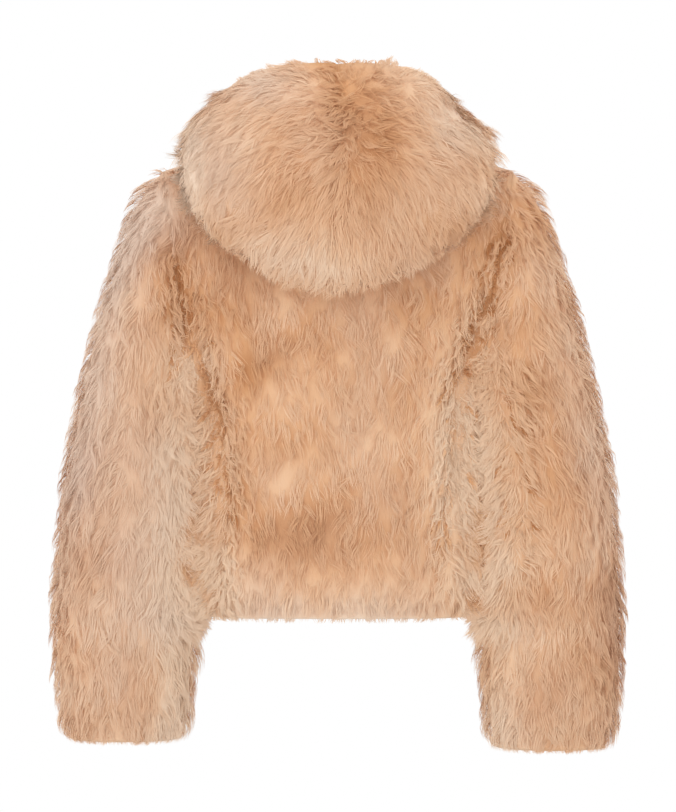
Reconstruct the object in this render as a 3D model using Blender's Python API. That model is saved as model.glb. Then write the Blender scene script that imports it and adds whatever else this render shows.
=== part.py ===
"""A cropped fur jacket with a hood, filled out as if worn, with no wearer in it.

Metres, +Z up. The wearer faces -Y, so +X is the wearer's left and +Y their back.
The origin is midway between the two neck points, where the shoulders carry the jacket.

Each piece is a wall of pelt and pile. Its inner points lie on the skin side of the pelt,
and its outer points lie where the tips of the fur end, one pile depth further out.
"""

import math
from collections import namedtuple

import bmesh
import bpy
import numpy as np

# ---------------------------------------------------------------- driving dimensions

SEAM_GAP = 0.0004          # clear space between two pieces along a seam
PILE = 0.021               # wall: pelt plus fur, where nothing presses on it
HEM_Z = -0.487             # lowest point of the body
UNDERARM_Z = -0.225        # bottom of the armhole
SHOULDER_X = 0.180         # shoulder point, the top of the armhole
SHOULDER_Z = -0.030
NECK_X = 0.072             # neck point, the inner end of the shoulder seam
NECK_BACK_Y = 0.060        # neckline at the centre back
NECK_BACK_Z = -0.004
NECK_FRONT_Y = -0.074      # neckline at the centre front
NECK_FRONT_Z = -0.052
CONTACT_X = 0.150          # plane in which the hanging sleeve meets the side of the body
BESIDE_ABOVE_UNDERARM = 0.02        # it starts this far above the underarm
BESIDE_ABOVE_HEM = -0.012           # and ends this far below the hem
CUFF_Z = -0.625            # lowest point of the right sleeve's pelt
LEFT_CUFF_LIFT = 0.009     # the left sleeve hangs this much shorter

# Depth of the pile where something presses on it, or where it ends.
THIN_PILE = 0.003          # between the sleeve and the side of the body
PRESS_SLOPE = 0.62         # it deepens by this much per metre to the back and to the front
SIDE_SEAM_PILE = 0.012     # at most, along the side seam
SHOULDER_PILE = 0.014      # at the shoulder point of the armhole seam
TOP_EDGE_PILE = 0.012      # at most, along the shoulder seam and the neckline
UNDER_HOOD_PILE = 0.0095   # on the body, where the hood lies on it
HOOD_UNDER_PILE = 0.0095   # on the part of the hood that lies on the body
HOOD_CREST_PRESS = 0.0035  # lost inside the turn over the hood's crest
CREST_REACH = 0.018        # how far from the crest that loss is felt
NECK_SEAM_REACH = 0.010    # how far up the hood its pile still stands as the body's does
HEM_TAPER = 0.42           # share of its depth that the pile loses towards the hem
HEM_TAPER_HEIGHT = 0.022
HEM_CORNER_TAPER = 0.40    # the same at the foot of the side seam
CUFF_TAPER = 0.45
CUFF_TAPER_HEIGHT = 0.026
RIM_TAPER = 0.40           # towards the rim of the hood
THROAT_TAPER = 0.50        # towards the throat
FRONT_EDGE_TAPER = 0.004   # metres that the fronts lose along the centre
TOUSLE = 0.0022            # unevenness of the fur

# The mesh of each piece: rows run up or down the piece, columns run across it.
BODY_COLUMNS = 11          # from a side seam to the centre back or the centre front
ARMHOLE_ROWS = 12          # from the underarm to the shoulder point, on one side of the armhole
NECK_BACK_ANGLES = [0, 18, 36, 54, 72, 90]      # where the body's columns end at the neckline,
NECK_FRONT_ANGLES = [0, 20, 40, 60, 78, 90]     # from the neck point to the centre
SHOULDER_COLUMNS = BODY_COLUMNS - 5             # and the others along the shoulder seam
RING_POINTS = 2 * ARMHOLE_ROWS
HOOD_SPLIT = 2             # columns of the hood to each column of the body
HOOD_ROWS = 30             # from the neckline to the rim
HELD_ROWS = 8              # rows above the hem that keep their section exactly
EASED_COLUMNS = 2.6        # columns over which the pile rises from the armhole seam

# Horizontal sections of the body below the armholes, on the skin side of the pelt.
BodySection = namedtuple("BodySection", "z half_width back front roundness")
BODY_SECTIONS = [
    BodySection(-0.487, 0.1310, 0.104, -0.106, 2.45),
    BodySection(-0.474, 0.1350, 0.105, -0.107, 2.45),
    BodySection(-0.430, 0.1370, 0.103, -0.105, 2.40),
    BodySection(-0.370, 0.1375, 0.099, -0.104, 2.35),
    BodySection(-0.310, 0.1375, 0.100, -0.108, 2.30),
    BodySection(-0.265, 0.1385, 0.104, -0.112, 2.25),
    BodySection(-0.240, 0.1440, 0.106, -0.113, 2.20),
    BodySection(-0.225, 0.1496, 0.107, -0.113, 2.15),
]
BODY_ROWS_Z = [-0.487, -0.480, -0.468, -0.444, -0.418, -0.391, -0.364, -0.337, -0.311,
               -0.286, -0.264, -0.246, -0.234, -0.225]

# Centre lines above the underarm: depth from front to back at each height.
CentrePoint = namedtuple("CentrePoint", "z y")
CENTRE_BACK = [
    CentrePoint(-0.225, 0.107),
    CentrePoint(-0.160, 0.106),
    CentrePoint(-0.095, 0.099),
    CentrePoint(-0.045, 0.082),
    CentrePoint(NECK_BACK_Z, NECK_BACK_Y),
]
CENTRE_FRONT = [
    CentrePoint(-0.225, -0.113),
    CentrePoint(-0.170, -0.114),
    CentrePoint(-0.115, -0.104),
    CentrePoint(-0.080, -0.090),
    CentrePoint(NECK_FRONT_Z, NECK_FRONT_Y),
]

# The armhole is an upright loop, deepest from front to back at its middle.
ARMHOLE_DEPTH_BACK = 0.060
ARMHOLE_DEPTH_FRONT = 0.056
ARMHOLE_BOW = 1.15         # how the loop leans out towards the shoulder point
ARMHOLE_LEAN = 0.55        # how far its pile leans out at the shoulder point
ARMHOLE_DROOP = 0.25       # and how far down under the arm
ARMHOLE_FLAT = (-0.95, 0.35)        # cosines of the turn between which its pile deepens

# How the pile stands along the shoulder seam and along the neckline.
SHOULDER_WAY = (0.25, 0.0, 1.0)
NECK_OUTWARD = 0.75
NECK_UPWARD = 0.66
NECK_DIP = 1.4             # how the neckline dips from the neck point

# Rings of the sleeve below the armhole, on the skin side. Each is a tilted oval that runs from
# its outer point to its inner point, and from its front to its back. The armhole is the first.
SleeveRing = namedtuple("SleeveRing", "outer_x outer_z inner_x inner_z back front")
SLEEVE_RINGS = [
    SleeveRing(0.1970, -0.049, 0.1508, -0.227, 0.060, -0.057),
    SleeveRing(0.2110, -0.086, 0.1525, -0.231, 0.061, -0.059),
    SleeveRing(0.2240, -0.126, 0.1560, -0.238, 0.062, -0.061),
    SleeveRing(0.2390, -0.174, 0.1600, -0.250, 0.063, -0.063),
    SleeveRing(0.2520, -0.225, 0.1620, -0.270, 0.064, -0.065),
    SleeveRing(0.2640, -0.280, 0.1625, -0.300, 0.065, -0.067),
    SleeveRing(0.2730, -0.335, 0.1625, -0.342, 0.066, -0.069),
    SleeveRing(0.2790, -0.385, 0.1620, -0.388, 0.067, -0.070),
    SleeveRing(0.2835, -0.435, 0.1605, -0.436, 0.068, -0.071),
    SleeveRing(0.2860, -0.485, 0.1590, -0.485, 0.068, -0.071),
    SleeveRing(0.2860, -0.530, 0.1600, -0.530, 0.067, -0.070),
    SleeveRing(0.2830, -0.568, 0.1630, -0.568, 0.066, -0.069),
    SleeveRing(0.2800, -0.597, 0.1660, -0.597, 0.064, -0.067),
    SleeveRing(0.2775, -0.613, 0.1685, -0.613, 0.062, -0.065),
    SleeveRing(0.2740, CUFF_Z, 0.1720, CUFF_Z, 0.060, -0.063),
]

# Upright sections through the hood, at plan angles from the centre back (0) to the throat (180).
# Each runs from the neckline up over a crest, down to a fold on the back of the body and up
# again to the rim. Radii are from the middle of the neck.
HoodSection = namedtuple(
    "HoodSection",
    "angle rise_r rise_z crest_r crest_z under_r under_z fold_r fold_z bulge_r bulge_z rim_r rim_z")
HOOD_SECTIONS = [
    HoodSection(0, 0.075, 0.024, 0.088, 0.042, 0.117, -0.050, 0.152, -0.136, 0.184, -0.040,
                0.126, 0.078),
    HoodSection(30, 0.076, 0.024, 0.089, 0.042, 0.119, -0.044, 0.165, -0.121, 0.188, -0.034,
                0.128, 0.075),
    HoodSection(45, 0.078, 0.025, 0.091, 0.042, 0.121, -0.022, 0.172, -0.097, 0.181, -0.024,
                0.123, 0.068),
    HoodSection(60, 0.080, 0.026, 0.093, 0.041, 0.128, 0.008, 0.173, -0.043, 0.166, -0.004,
                0.118, 0.062),
    HoodSection(75, 0.081, 0.026, 0.094, 0.040, 0.126, 0.023, 0.156, 0.007, 0.146, 0.021,
                0.112, 0.056),
    HoodSection(90, 0.082, 0.024, 0.094, 0.036, 0.119, 0.023, 0.141, 0.017, 0.137, 0.027,
                0.110, 0.053),
    HoodSection(120, 0.074, 0.010, 0.087, 0.020, 0.104, 0.012, 0.116, 0.008, 0.118, 0.020,
                0.104, 0.042),
    HoodSection(145, 0.072, -0.012, 0.081, -0.002, 0.090, -0.002, 0.097, 0.000, 0.102, 0.008,
                0.099, 0.024),
    HoodSection(168, 0.073, -0.036, 0.078, -0.028, 0.083, -0.020, 0.087, -0.012, 0.090, -0.004,
                0.091, 0.006),
]
HOOD_RIGHT_PULL = 0.010    # the right half lies closer in
HOOD_RIGHT_DROP = 0.003    # and lower
HOOD_NECK_Y = -0.007       # middle of the neckline, from which the hood's radii are measured

# Where along a hood section, from the neckline (0) to the rim (1), its pile changes.
HOOD_LEAVES_BODY = (0.44, 0.64)     # from pressed flat to its whole depth
HOOD_RIM_SPAN = (0.93, 1.0)         # thinner towards the rim
HOOD_SETTLES = (0.55, 0.85)         # the right half moves in
HOOD_FLARES = (0.86, 0.97)          # and its rim flares out again
HOOD_FLARES_TO = (48, 72)
HOOD_SETTLES_FROM = (8, 45)         # between these plan angles
HOOD_SETTLES_TO = (95, 140)
HOOD_THROAT_SPAN = (0.62, 0.95)     # thinner towards the throat, along the neckline

# Where the lower edge of the hood lies on the back.
HoodEdge = namedtuple("HoodEdge", "x z")
HOOD_EDGE = [
    HoodEdge(0.000, -0.142),
    HoodEdge(0.055, -0.132),
    HoodEdge(0.105, -0.102),
    HoodEdge(0.150, -0.062),
    HoodEdge(0.190, -0.010),
]

HOOD_EDGE_SPAN = (-0.006, 0.026)    # heights round that line over which it presses more
FRONT_COVERED = (-0.070, -0.020)    # heights over which it presses more on the fronts

# Folds of the back and the fronts: grooves from (x0, z0) to (x1, z1), seen from behind or ahead.
Fold = namedtuple("Fold", "x0 z0 x1 z1 half_width depth")
BACK_FOLDS = [
    Fold(0.164, -0.120, 0.146, -0.210, 0.013, 0.008),
    Fold(0.146, -0.210, 0.128, -0.330, 0.014, 0.009),
    Fold(0.132, -0.330, 0.141, -0.440, 0.012, 0.007),
    Fold(0.104, -0.290, 0.118, -0.380, 0.012, 0.004),
    Fold(-0.160, -0.115, -0.147, -0.195, 0.013, 0.008),
    Fold(-0.146, -0.190, -0.126, -0.300, 0.014, 0.009),
    Fold(-0.126, -0.300, -0.128, -0.410, 0.013, 0.009),
    Fold(-0.104, -0.270, -0.112, -0.350, 0.012, 0.004),
    Fold(0.090, -0.405, -0.030, -0.392, 0.020, 0.005),
]
FRONT_FOLDS = [
    Fold(0.150, -0.150, 0.118, -0.250, 0.013, 0.008),
    Fold(0.120, -0.250, 0.122, -0.380, 0.012, 0.006),
    Fold(0.060, -0.390, 0.110, -0.410, 0.016, 0.004),
]
# Soft creases round the sleeve: how far down, how far round, how long and how deep. Angles are
# in degrees, and each crease slopes by FOLD_SLOPE metres to a degree.
SleeveFold = namedtuple("SleeveFold", "z angle reach half_height depth")
FOLD_SLOPE = 0.00035
SLEEVE_FOLDS = [
    SleeveFold(-0.245, 140, 55, 0.014, 0.008),
    SleeveFold(-0.300, 125, 50, 0.013, 0.007),
    SleeveFold(-0.365, 110, 45, 0.014, 0.006),
    SleeveFold(-0.330, 215, 45, 0.014, 0.006),
    SleeveFold(-0.270, 230, 45, 0.014, 0.007),
    SleeveFold(-0.455, 95, 50, 0.016, 0.004),
    SleeveFold(-0.520, 250, 50, 0.016, 0.004),
]

FOLD_FADE = 0.4            # share of its length over which a crease keeps its whole depth
SLEEVE_TOUSLE_SHIFT = (0.3, 0.1, 0.0)       # so that the sleeves are uneven in another way
SEAM_SHARE_WAY = 0.45      # how much the ring below the armhole takes of the seam's pile
SEAM_SHARE_PILE = 0.35
BELOW_HEM = (0.004, 0.030)          # below the hem nothing presses on the sleeve
UNDERARM_EASE = 0.01       # the sleeve meets the body this much higher than the body does it
CUFF_LIFT_SPAN = (0.05, 0.36)       # depths below the underarm over which the left sleeve rises

FUR_COLOUR = (0.640, 0.395, 0.245, 1.0)
FUR_ROUGHNESS = 0.85


# ---------------------------------------------------------------- small geometry helpers

def smooth_step(x, low, high):
    """0 below low, 1 above high, and an even slope between."""
    t = np.clip((np.asarray(x, float) - low) / (high - low), 0.0, 1.0)
    return t * t * (3.0 - 2.0 * t)


def unit(vectors):
    """The vectors, each at length one."""
    return vectors / np.maximum(np.linalg.norm(vectors, axis=-1, keepdims=True), 1e-9)


def through(points, stations, wanted):
    """A smooth line through points, given at rising stations, read at the wanted stations."""
    points, stations = np.asarray(points, float), np.asarray(stations, float)
    slopes = np.gradient(points, stations, axis=0)
    found = []
    for s in np.atleast_1d(wanted):
        i = int(np.clip(np.searchsorted(stations, s, side="right") - 1, 0, len(stations) - 2))
        h = stations[i + 1] - stations[i]
        t = (s - stations[i]) / h
        found.append(
            (2 * t**3 - 3 * t**2 + 1) * points[i] + (t**3 - 2 * t**2 + t) * h * slopes[i]
            + (3 * t**2 - 2 * t**3) * points[i + 1] + (t**3 - t**2) * h * slopes[i + 1])
    return np.array(found)


def evenly(points, count):
    """count + 1 points spaced evenly along the line that joins points."""
    steps = np.linalg.norm(np.diff(points, axis=0), axis=1)
    along = np.concatenate([[0.0], np.cumsum(steps)])
    wanted = np.linspace(0.0, along[-1], count + 1)
    return np.stack([np.interp(wanted, along, points[:, k]) for k in range(3)], axis=1)


def coons(bottom, top, side, centre):
    """A surface between four lines: rows run from bottom to top, columns from side to centre."""
    rows, columns = len(side), len(bottom)
    v = np.linspace(0, 1, rows)[:, None, None]
    u = np.linspace(0, 1, columns)[None, :, None]
    across = (1 - v) * bottom[None] + v * top[None]
    upward = (1 - u) * side[:, None] + u * centre[:, None]
    corners = ((1 - v) * ((1 - u) * bottom[0] + u * bottom[-1])
               + v * ((1 - u) * top[0] + u * top[-1]))
    return across + upward - corners


def relax(grid, held_rows, times):
    """Eases the inside of a grid, leaving its four edges and the first held_rows rows."""
    grid = grid.copy()
    for _ in range(times):
        middle = (grid[:-2, 1:-1] + grid[2:, 1:-1] + grid[1:-1, :-2] + grid[1:-1, 2:]) / 4
        eased = 0.5 * grid[1:-1, 1:-1] + 0.5 * middle
        grid[1 + held_rows:-1, 1:-1] = eased[held_rows:]
    return grid


def normals_of(grid, outward_sign):
    """Unit normals of a grid of points. outward_sign turns them to the fur side."""
    return outward_sign * unit(np.cross(np.gradient(grid, axis=1), np.gradient(grid, axis=0)))


def groove(points, folds):
    """How deep the folds cut at each point, seen from behind or ahead."""
    depth = np.zeros(points.shape[:-1])
    flat = points[..., [0, 2]]
    for f in folds:
        start, end = np.array([f.x0, f.z0]), np.array([f.x1, f.z1])
        along = (flat - start) @ (end - start) / ((end - start) @ (end - start))
        nearest = start + np.clip(along, 0, 1)[..., None] * (end - start)
        off = np.linalg.norm(flat - nearest, axis=-1)
        depth = np.maximum(depth, f.depth * np.exp(-(off / f.half_width) ** 2))
    return depth


def tousle(points, amount):
    """A gentle unevenness of the fur's surface, the same on every run."""
    x, y, z = points[..., 0], points[..., 1], points[..., 2]
    return amount * (np.sin(61 * x + 37 * z + 1.3) * np.sin(53 * z - 29 * y + 0.4)
                     + 0.6 * np.sin(97 * z + 71 * y + 2.1) * np.sin(83 * x + 0.8)) / 1.6


# ---------------------------------------------------------------- from points to solids

def wall(name, inner, outer, collection, closed_round=False):
    """One closed wall between an inner and an outer grid of points."""
    rows, columns = inner.shape[:2]
    mesh = bmesh.new()
    layers = [[[mesh.verts.new(p) for p in row] for row in grid] for grid in (inner, outer)]
    skin, fur = layers
    across = columns if closed_round else columns - 1
    for j in range(rows - 1):
        for i in range(across):
            k = (i + 1) % columns
            mesh.faces.new((skin[j][i], skin[j][k], skin[j + 1][k], skin[j + 1][i]))
            mesh.faces.new((fur[j][i], fur[j + 1][i], fur[j + 1][k], fur[j][k]))
    for j in (0, rows - 1):
        for i in range(across):
            k = (i + 1) % columns
            mesh.faces.new((skin[j][i], fur[j][i], fur[j][k], skin[j][k]))
    if not closed_round:
        for i in (0, columns - 1):
            for j in range(rows - 1):
                mesh.faces.new((skin[j][i], skin[j + 1][i], fur[j + 1][i], fur[j][i]))
    bmesh.ops.triangulate(mesh, faces=mesh.faces[:])
    bmesh.ops.recalc_face_normals(mesh, faces=mesh.faces[:])
    if mesh.calc_volume(signed=True) < 0:
        bmesh.ops.reverse_faces(mesh, faces=mesh.faces[:])
    data = bpy.data.meshes.new(name)
    mesh.to_mesh(data)
    mesh.free()
    data.shade_smooth()
    data.set_sharp_from_angle(angle=math.radians(50))
    data.materials.append(fur_material(name))
    collection.objects.link(bpy.data.objects.new(name, data))


def fur_material(name):
    """Pale camel fur, for one piece."""
    material = bpy.data.materials.new("fur_" + name)
    material.use_nodes = True
    shader = material.node_tree.nodes["Principled BSDF"]
    shader.inputs["Base Color"].default_value = FUR_COLOUR
    shader.inputs["Roughness"].default_value = FUR_ROUGHNESS
    shader.inputs["Metallic"].default_value = 0.0
    return material


def mirrored(grid):
    """The same grid on the wearer's other side."""
    return grid * np.array([-1.0, 1.0, 1.0])


# ---------------------------------------------------------------- the armhole

def armhole_point(angle):
    """A point of the left armhole on the pelt. Angle 0 is the shoulder point, and it turns
    over the back of the armhole first."""
    middle_z = (SHOULDER_Z + UNDERARM_Z) / 2
    half_height = (SHOULDER_Z - UNDERARM_Z) / 2
    depth = ARMHOLE_DEPTH_BACK if math.sin(angle) >= 0 else ARMHOLE_DEPTH_FRONT
    height = (math.cos(angle) + 1) / 2
    x = CONTACT_X + (SHOULDER_X - CONTACT_X) * height**ARMHOLE_BOW
    return np.array([x, depth * math.sin(angle), middle_z + half_height * math.cos(angle)])


def armhole_way(angle):
    """The way in which the pile stands at the armhole seam, which both its sides share."""
    outward = ARMHOLE_LEAN * (1 + math.cos(angle)) / 2
    return unit(np.array([outward, math.sin(angle), max(math.cos(angle), -ARMHOLE_DROOP)]))


def armhole_pile(angle):
    """Depth of the pile at the armhole seam: full at the shoulder, flat under the arm."""
    deepened = float(smooth_step(math.cos(angle), *ARMHOLE_FLAT))
    return THIN_PILE + (SHOULDER_PILE - THIN_PILE) * deepened


# ---------------------------------------------------------------- the body

def body_line(section, centre_y, count):
    """Points along a horizontal section, from the side seam to the centre back or front."""
    angles = np.linspace(0, math.pi / 2, 181)
    power = 2 / section.roundness
    line = np.stack([section.half_width * np.cos(angles) ** power,
                     centre_y * np.sin(angles) ** power,
                     np.full_like(angles, section.z)], axis=1)
    return evenly(line, count)


def body_section_at(z):
    """The body's section at any height below the armholes."""
    stations = [s.z for s in BODY_SECTIONS]
    values = through([tuple(s) for s in BODY_SECTIONS], stations, z)[0]
    return BodySection(*values)


def top_line(is_back):
    """From the shoulder point along the shoulder seam to the neck point, then the neckline."""
    neck_y = NECK_BACK_Y if is_back else NECK_FRONT_Y
    neck_z = NECK_BACK_Z if is_back else NECK_FRONT_Z
    degrees = NECK_BACK_ANGLES if is_back else NECK_FRONT_ANGLES
    shoulder = np.linspace([SHOULDER_X, 0, SHOULDER_Z], [NECK_X, 0, 0], SHOULDER_COLUMNS + 1)
    angles = np.radians(degrees[1:])
    neckline = np.stack([NECK_X * np.cos(angles), neck_y * np.sin(angles),
                         neck_z * np.sin(angles) ** NECK_DIP], axis=1)
    return np.concatenate([shoulder, neckline])


def body_quarter(is_back):
    """Inner points of the left half of the back, or of the left front, and their normals.
    Columns run from the side to the centre, and rows from the hem to the top."""
    turn = 1 if is_back else -1
    rows = []
    for z in BODY_ROWS_Z:
        section = body_section_at(z)
        rows.append(body_line(section, section.back if is_back else section.front, BODY_COLUMNS))
    lower = np.array(rows)
    centre_points = CENTRE_BACK if is_back else CENTRE_FRONT
    centre = np.array([[0.0, p.y, p.z] for p in centre_points])
    lengths = np.concatenate([[0], np.cumsum(np.linalg.norm(np.diff(centre, axis=0), axis=1))])
    fine = through(centre, lengths, np.linspace(0, lengths[-1], 60))
    centre_line = evenly(fine, ARMHOLE_ROWS)
    angles = [turn * math.pi * (1 - j / ARMHOLE_ROWS) for j in range(ARMHOLE_ROWS + 1)]
    side_line = np.array([armhole_point(a) for a in angles])
    upper = coons(lower[-1], top_line(is_back), side_line, centre_line)
    grid = np.concatenate([lower, upper[1:]])
    grid = relax(grid, HELD_ROWS, times=6)
    normals = normals_of(grid, turn)
    first = len(BODY_ROWS_Z) - 1
    normals[:, -1, 0] = 0.0          # the pile stands straight out along the centre line
    normals[:first, 0, 1] = 0.0      # and along the side seam
    normals = unit(normals)
    for j, angle in enumerate(angles):
        normals[first + j, 0] = armhole_way(angle)
    normals[-1, 1:SHOULDER_COLUMNS] = unit(np.array(SHOULDER_WAY))
    for i in range(SHOULDER_COLUMNS, BODY_COLUMNS + 1):
        normals[-1, i] = neck_way(grid[-1, i])
    return grid, normals, angles


def neck_way(point):
    """The way in which the pile stands along the neckline: outward from the neck and up."""
    outward = unit(np.array([point[0], point[1] - HOOD_NECK_Y, 0.0]))
    return unit(NECK_OUTWARD * outward + np.array([0.0, 0.0, NECK_UPWARD]))


def body_pile(grid, angles, is_back):
    """Depth of the wall at each point of a quarter of the body."""
    first = len(BODY_ROWS_Z) - 1
    x, y, z = grid[..., 0], grid[..., 1], grid[..., 2]
    depth = PILE + tousle(grid, TOUSLE) - groove(grid, BACK_FOLDS if is_back else FRONT_FOLDS)
    if is_back:
        edge = np.interp(np.abs(x), [e.x for e in HOOD_EDGE], [e.z for e in HOOD_EDGE])
        covered = smooth_step(z - edge, *HOOD_EDGE_SPAN)
    else:
        covered = smooth_step(z, *FRONT_COVERED)
    depth += (UNDER_HOOD_PILE - depth) * covered
    room = np.maximum(CONTACT_X - x, THIN_PILE) + PRESS_SLOPE * np.abs(y)
    depth = np.minimum(depth, room)
    depth *= 1 - HEM_TAPER * smooth_step(HEM_Z - z, -HEM_TAPER_HEIGHT, 0.0)
    risen = smooth_step(np.arange(grid.shape[1]), 0, EASED_COLUMNS)
    for row, angle in zip(depth[first:], angles):
        seam = armhole_pile(angle)
        row[:] = seam * (1 - risen) + np.minimum(row, seam + PILE) * risen
    depth[-1] = np.minimum(depth[-1], TOP_EDGE_PILE)
    if not is_back:
        depth[:, -1] -= FRONT_EDGE_TAPER
    return depth


def body_walls(is_back):
    """Inner and outer points of the left half of the back, or of the left front."""
    grid, normals, angles = body_quarter(is_back)
    depth = body_pile(grid, angles, is_back)
    first = len(BODY_ROWS_Z) - 1
    limit = CONTACT_X - SEAM_GAP / 2
    side = np.clip(limit - grid[:first + 1, 0, 0], THIN_PILE, SIDE_SEAM_PILE)
    side[0] *= 1 - HEM_CORNER_TAPER
    depth[:first + 1, 0] = side
    outer = grid + normals * depth[..., None]
    beside_sleeve = outer[..., 2] < UNDERARM_Z + BESIDE_ABOVE_UNDERARM
    outer[beside_sleeve, 0] = np.minimum(outer[beside_sleeve, 0], limit)
    turn = 1 if is_back else -1
    for points in (grid, outer):
        points[:first + 1, 0, 1] += turn * SEAM_GAP / 2     # side seam
        points[first:, 0, 0] -= SEAM_GAP / 2                # armhole seam
        points[-1, :SHOULDER_COLUMNS + 1, 1] += turn * SEAM_GAP / 2
        if not is_back:
            points[:, -1, 0] += SEAM_GAP / 2                # centre front
    return grid, outer


def whole(left_half):
    """A half and its mirror image, joined along the centre column."""
    return np.concatenate([left_half, mirrored(left_half)[:, -2::-1]], axis=1)


def build_body(collection):
    """The back in one piece, and the two fronts."""
    inner, outer = body_walls(is_back=True)
    wall("back", whole(inner), whole(outer), collection)
    inner, outer = body_walls(is_back=False)
    wall("front_left", inner, outer, collection)
    wall("front_right", mirrored(inner), mirrored(outer), collection)


# ---------------------------------------------------------------- the sleeves

def ring_points(ring, angles):
    """Points round a sleeve ring: angle 0 is its outer point, and it turns over the back."""
    outer = np.array([ring.outer_x, 0.0, ring.outer_z])
    inner = np.array([ring.inner_x, 0.0, ring.inner_z])
    middle, reach = (outer + inner) / 2, (outer - inner) / 2
    side = np.where(np.sin(angles) >= 0, ring.back, -ring.front)
    points = middle + np.cos(angles)[:, None] * reach
    points[:, 1] += side * np.sin(angles)
    return points


def sleeve_pile(grid, angles):
    """Depth of the sleeve's wall at each point, ring by ring."""
    x, y, z = grid[..., 0], grid[..., 1], grid[..., 2]
    depth = PILE + tousle(grid + np.array(SLEEVE_TOUSLE_SHIFT), TOUSLE)
    for f in SLEEVE_FOLDS:
        away = (angles - math.radians(f.angle) + math.pi) % (2 * math.pi) - math.pi
        felt = 1 - smooth_step(np.degrees(np.abs(away)), FOLD_FADE * f.reach, f.reach)
        slope = FOLD_SLOPE * (np.degrees(angles) - f.angle)
        off = (z - f.z - slope) / f.half_height
        depth -= f.depth * felt * np.exp(-off**2)
    freed = PILE * smooth_step(HEM_Z - z, *BELOW_HEM)
    room = np.maximum(x - CONTACT_X - SEAM_GAP + freed, THIN_PILE) + PRESS_SLOPE * np.abs(y)
    depth = np.minimum(depth, room)
    depth *= 1 - CUFF_TAPER * smooth_step(CUFF_Z - z, -CUFF_TAPER_HEIGHT, 0.0)
    seam = np.array([armhole_pile(a) for a in angles])
    depth[0] = seam
    depth[1] = np.minimum(depth[1], seam * SEAM_SHARE_PILE + depth[1] * (1 - SEAM_SHARE_PILE))
    return depth


def sleeve_walls(cuff_lift):
    """Inner and outer points of the left sleeve, ring by ring from the armhole to the cuff."""
    angles = np.array([2 * math.pi * k / RING_POINTS for k in range(RING_POINTS)])
    rings = [np.array([armhole_point(a) for a in angles])]
    rings += [ring_points(r, angles) for r in SLEEVE_RINGS]
    grid = np.array(rings)
    padded = np.concatenate([grid[:, -1:], grid, grid[:, :1]], axis=1)
    normals = normals_of(padded, -1)[:, 1:-1]
    normals[0] = [armhole_way(a) for a in angles]
    normals[1] = unit(normals[0] * SEAM_SHARE_WAY + normals[1] * (1 - SEAM_SHARE_WAY))
    depth = sleeve_pile(grid, angles)
    outer = grid + normals * depth[..., None]
    height = outer[1:, :, 2]
    beside_body = ((height < UNDERARM_Z + BESIDE_ABOVE_UNDERARM + UNDERARM_EASE)
                   & (height > HEM_Z + BESIDE_ABOVE_HEM))
    limit = np.where(beside_body, CONTACT_X + SEAM_GAP / 2, -math.inf)
    outer[1:, :, 0] = np.maximum(outer[1:, :, 0], limit)
    for points in (grid, outer):
        points[0, :, 0] += SEAM_GAP / 2
        points[..., 2] += cuff_lift * smooth_step(UNDERARM_Z - points[..., 2], *CUFF_LIFT_SPAN)
    return grid, outer


def build_sleeves(collection):
    """The two sleeves, tubes that hang close by the sides."""
    inner, outer = sleeve_walls(LEFT_CUFF_LIFT)
    wall("sleeve_left", inner, outer, collection, closed_round=True)
    inner, outer = sleeve_walls(0.0)
    wall("sleeve_right", mirrored(inner), mirrored(outer), collection, closed_round=True)


# ---------------------------------------------------------------- the hood

def neckline():
    """Inner and outer points of the body's neckline, from the centre back to the throat."""
    lines = []
    for back, front in zip(body_walls(is_back=True), body_walls(is_back=False)):
        behind, ahead = back[-1, SHOULDER_COLUMNS:], front[-1, SHOULDER_COLUMNS:-1]
        corner = (behind[0] + ahead[0]) / 2
        line = np.concatenate([behind[:0:-1], [corner], ahead[1:]])
        parts = (len(line) - 1) * HOOD_SPLIT + 1
        where = np.linspace(0, len(line) - 1, parts)
        lines.append(np.stack(
            [np.interp(where, np.arange(len(line)), line[:, k]) for k in range(3)], axis=1))
    return lines


def hood_profile(angle_degrees, start):
    """Inner points of one upright section of the hood, as (radius, height) pairs."""
    stations = [s.angle for s in HOOD_SECTIONS]
    s = HoodSection(*through([tuple(s) for s in HOOD_SECTIONS], stations, angle_degrees)[0])
    line = np.array([start, (s.rise_r, s.rise_z), (s.crest_r, s.crest_z), (s.under_r, s.under_z),
                     (s.fold_r, s.fold_z), (s.bulge_r, s.bulge_z), (s.rim_r, s.rim_z)])
    lengths = np.concatenate([[0], np.cumsum(np.linalg.norm(np.diff(line, axis=0), axis=1))])
    fine = through(line, lengths, np.linspace(0, lengths[-1], 160))
    flat = np.concatenate([fine, np.zeros((len(fine), 1))], axis=1)
    return evenly(flat, HOOD_ROWS)[:, :2]


def hood_pile(grid):
    """Depth of the hood's wall at each point."""
    along = np.linspace(0, 1, grid.shape[0])[:, None]
    across = np.linspace(0, 1, grid.shape[1])[None]
    free = smooth_step(along, *HOOD_LEAVES_BODY)
    depth = HOOD_UNDER_PILE + (PILE - HOOD_UNDER_PILE) * free
    depth = depth + tousle(grid, TOUSLE) * free
    depth *= 1 - RIM_TAPER * smooth_step(along, *HOOD_RIM_SPAN)
    tops = grid[:HOOD_ROWS // 2, :, 2].argmax(axis=0)
    crest = grid[tops, np.arange(grid.shape[1])]
    from_crest = np.linalg.norm(grid - crest, axis=2)
    depth -= HOOD_CREST_PRESS * np.exp(-(from_crest / CREST_REACH) ** 2)
    return depth * (1 - THROAT_TAPER * smooth_step(across, *HOOD_THROAT_SPAN))


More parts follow.
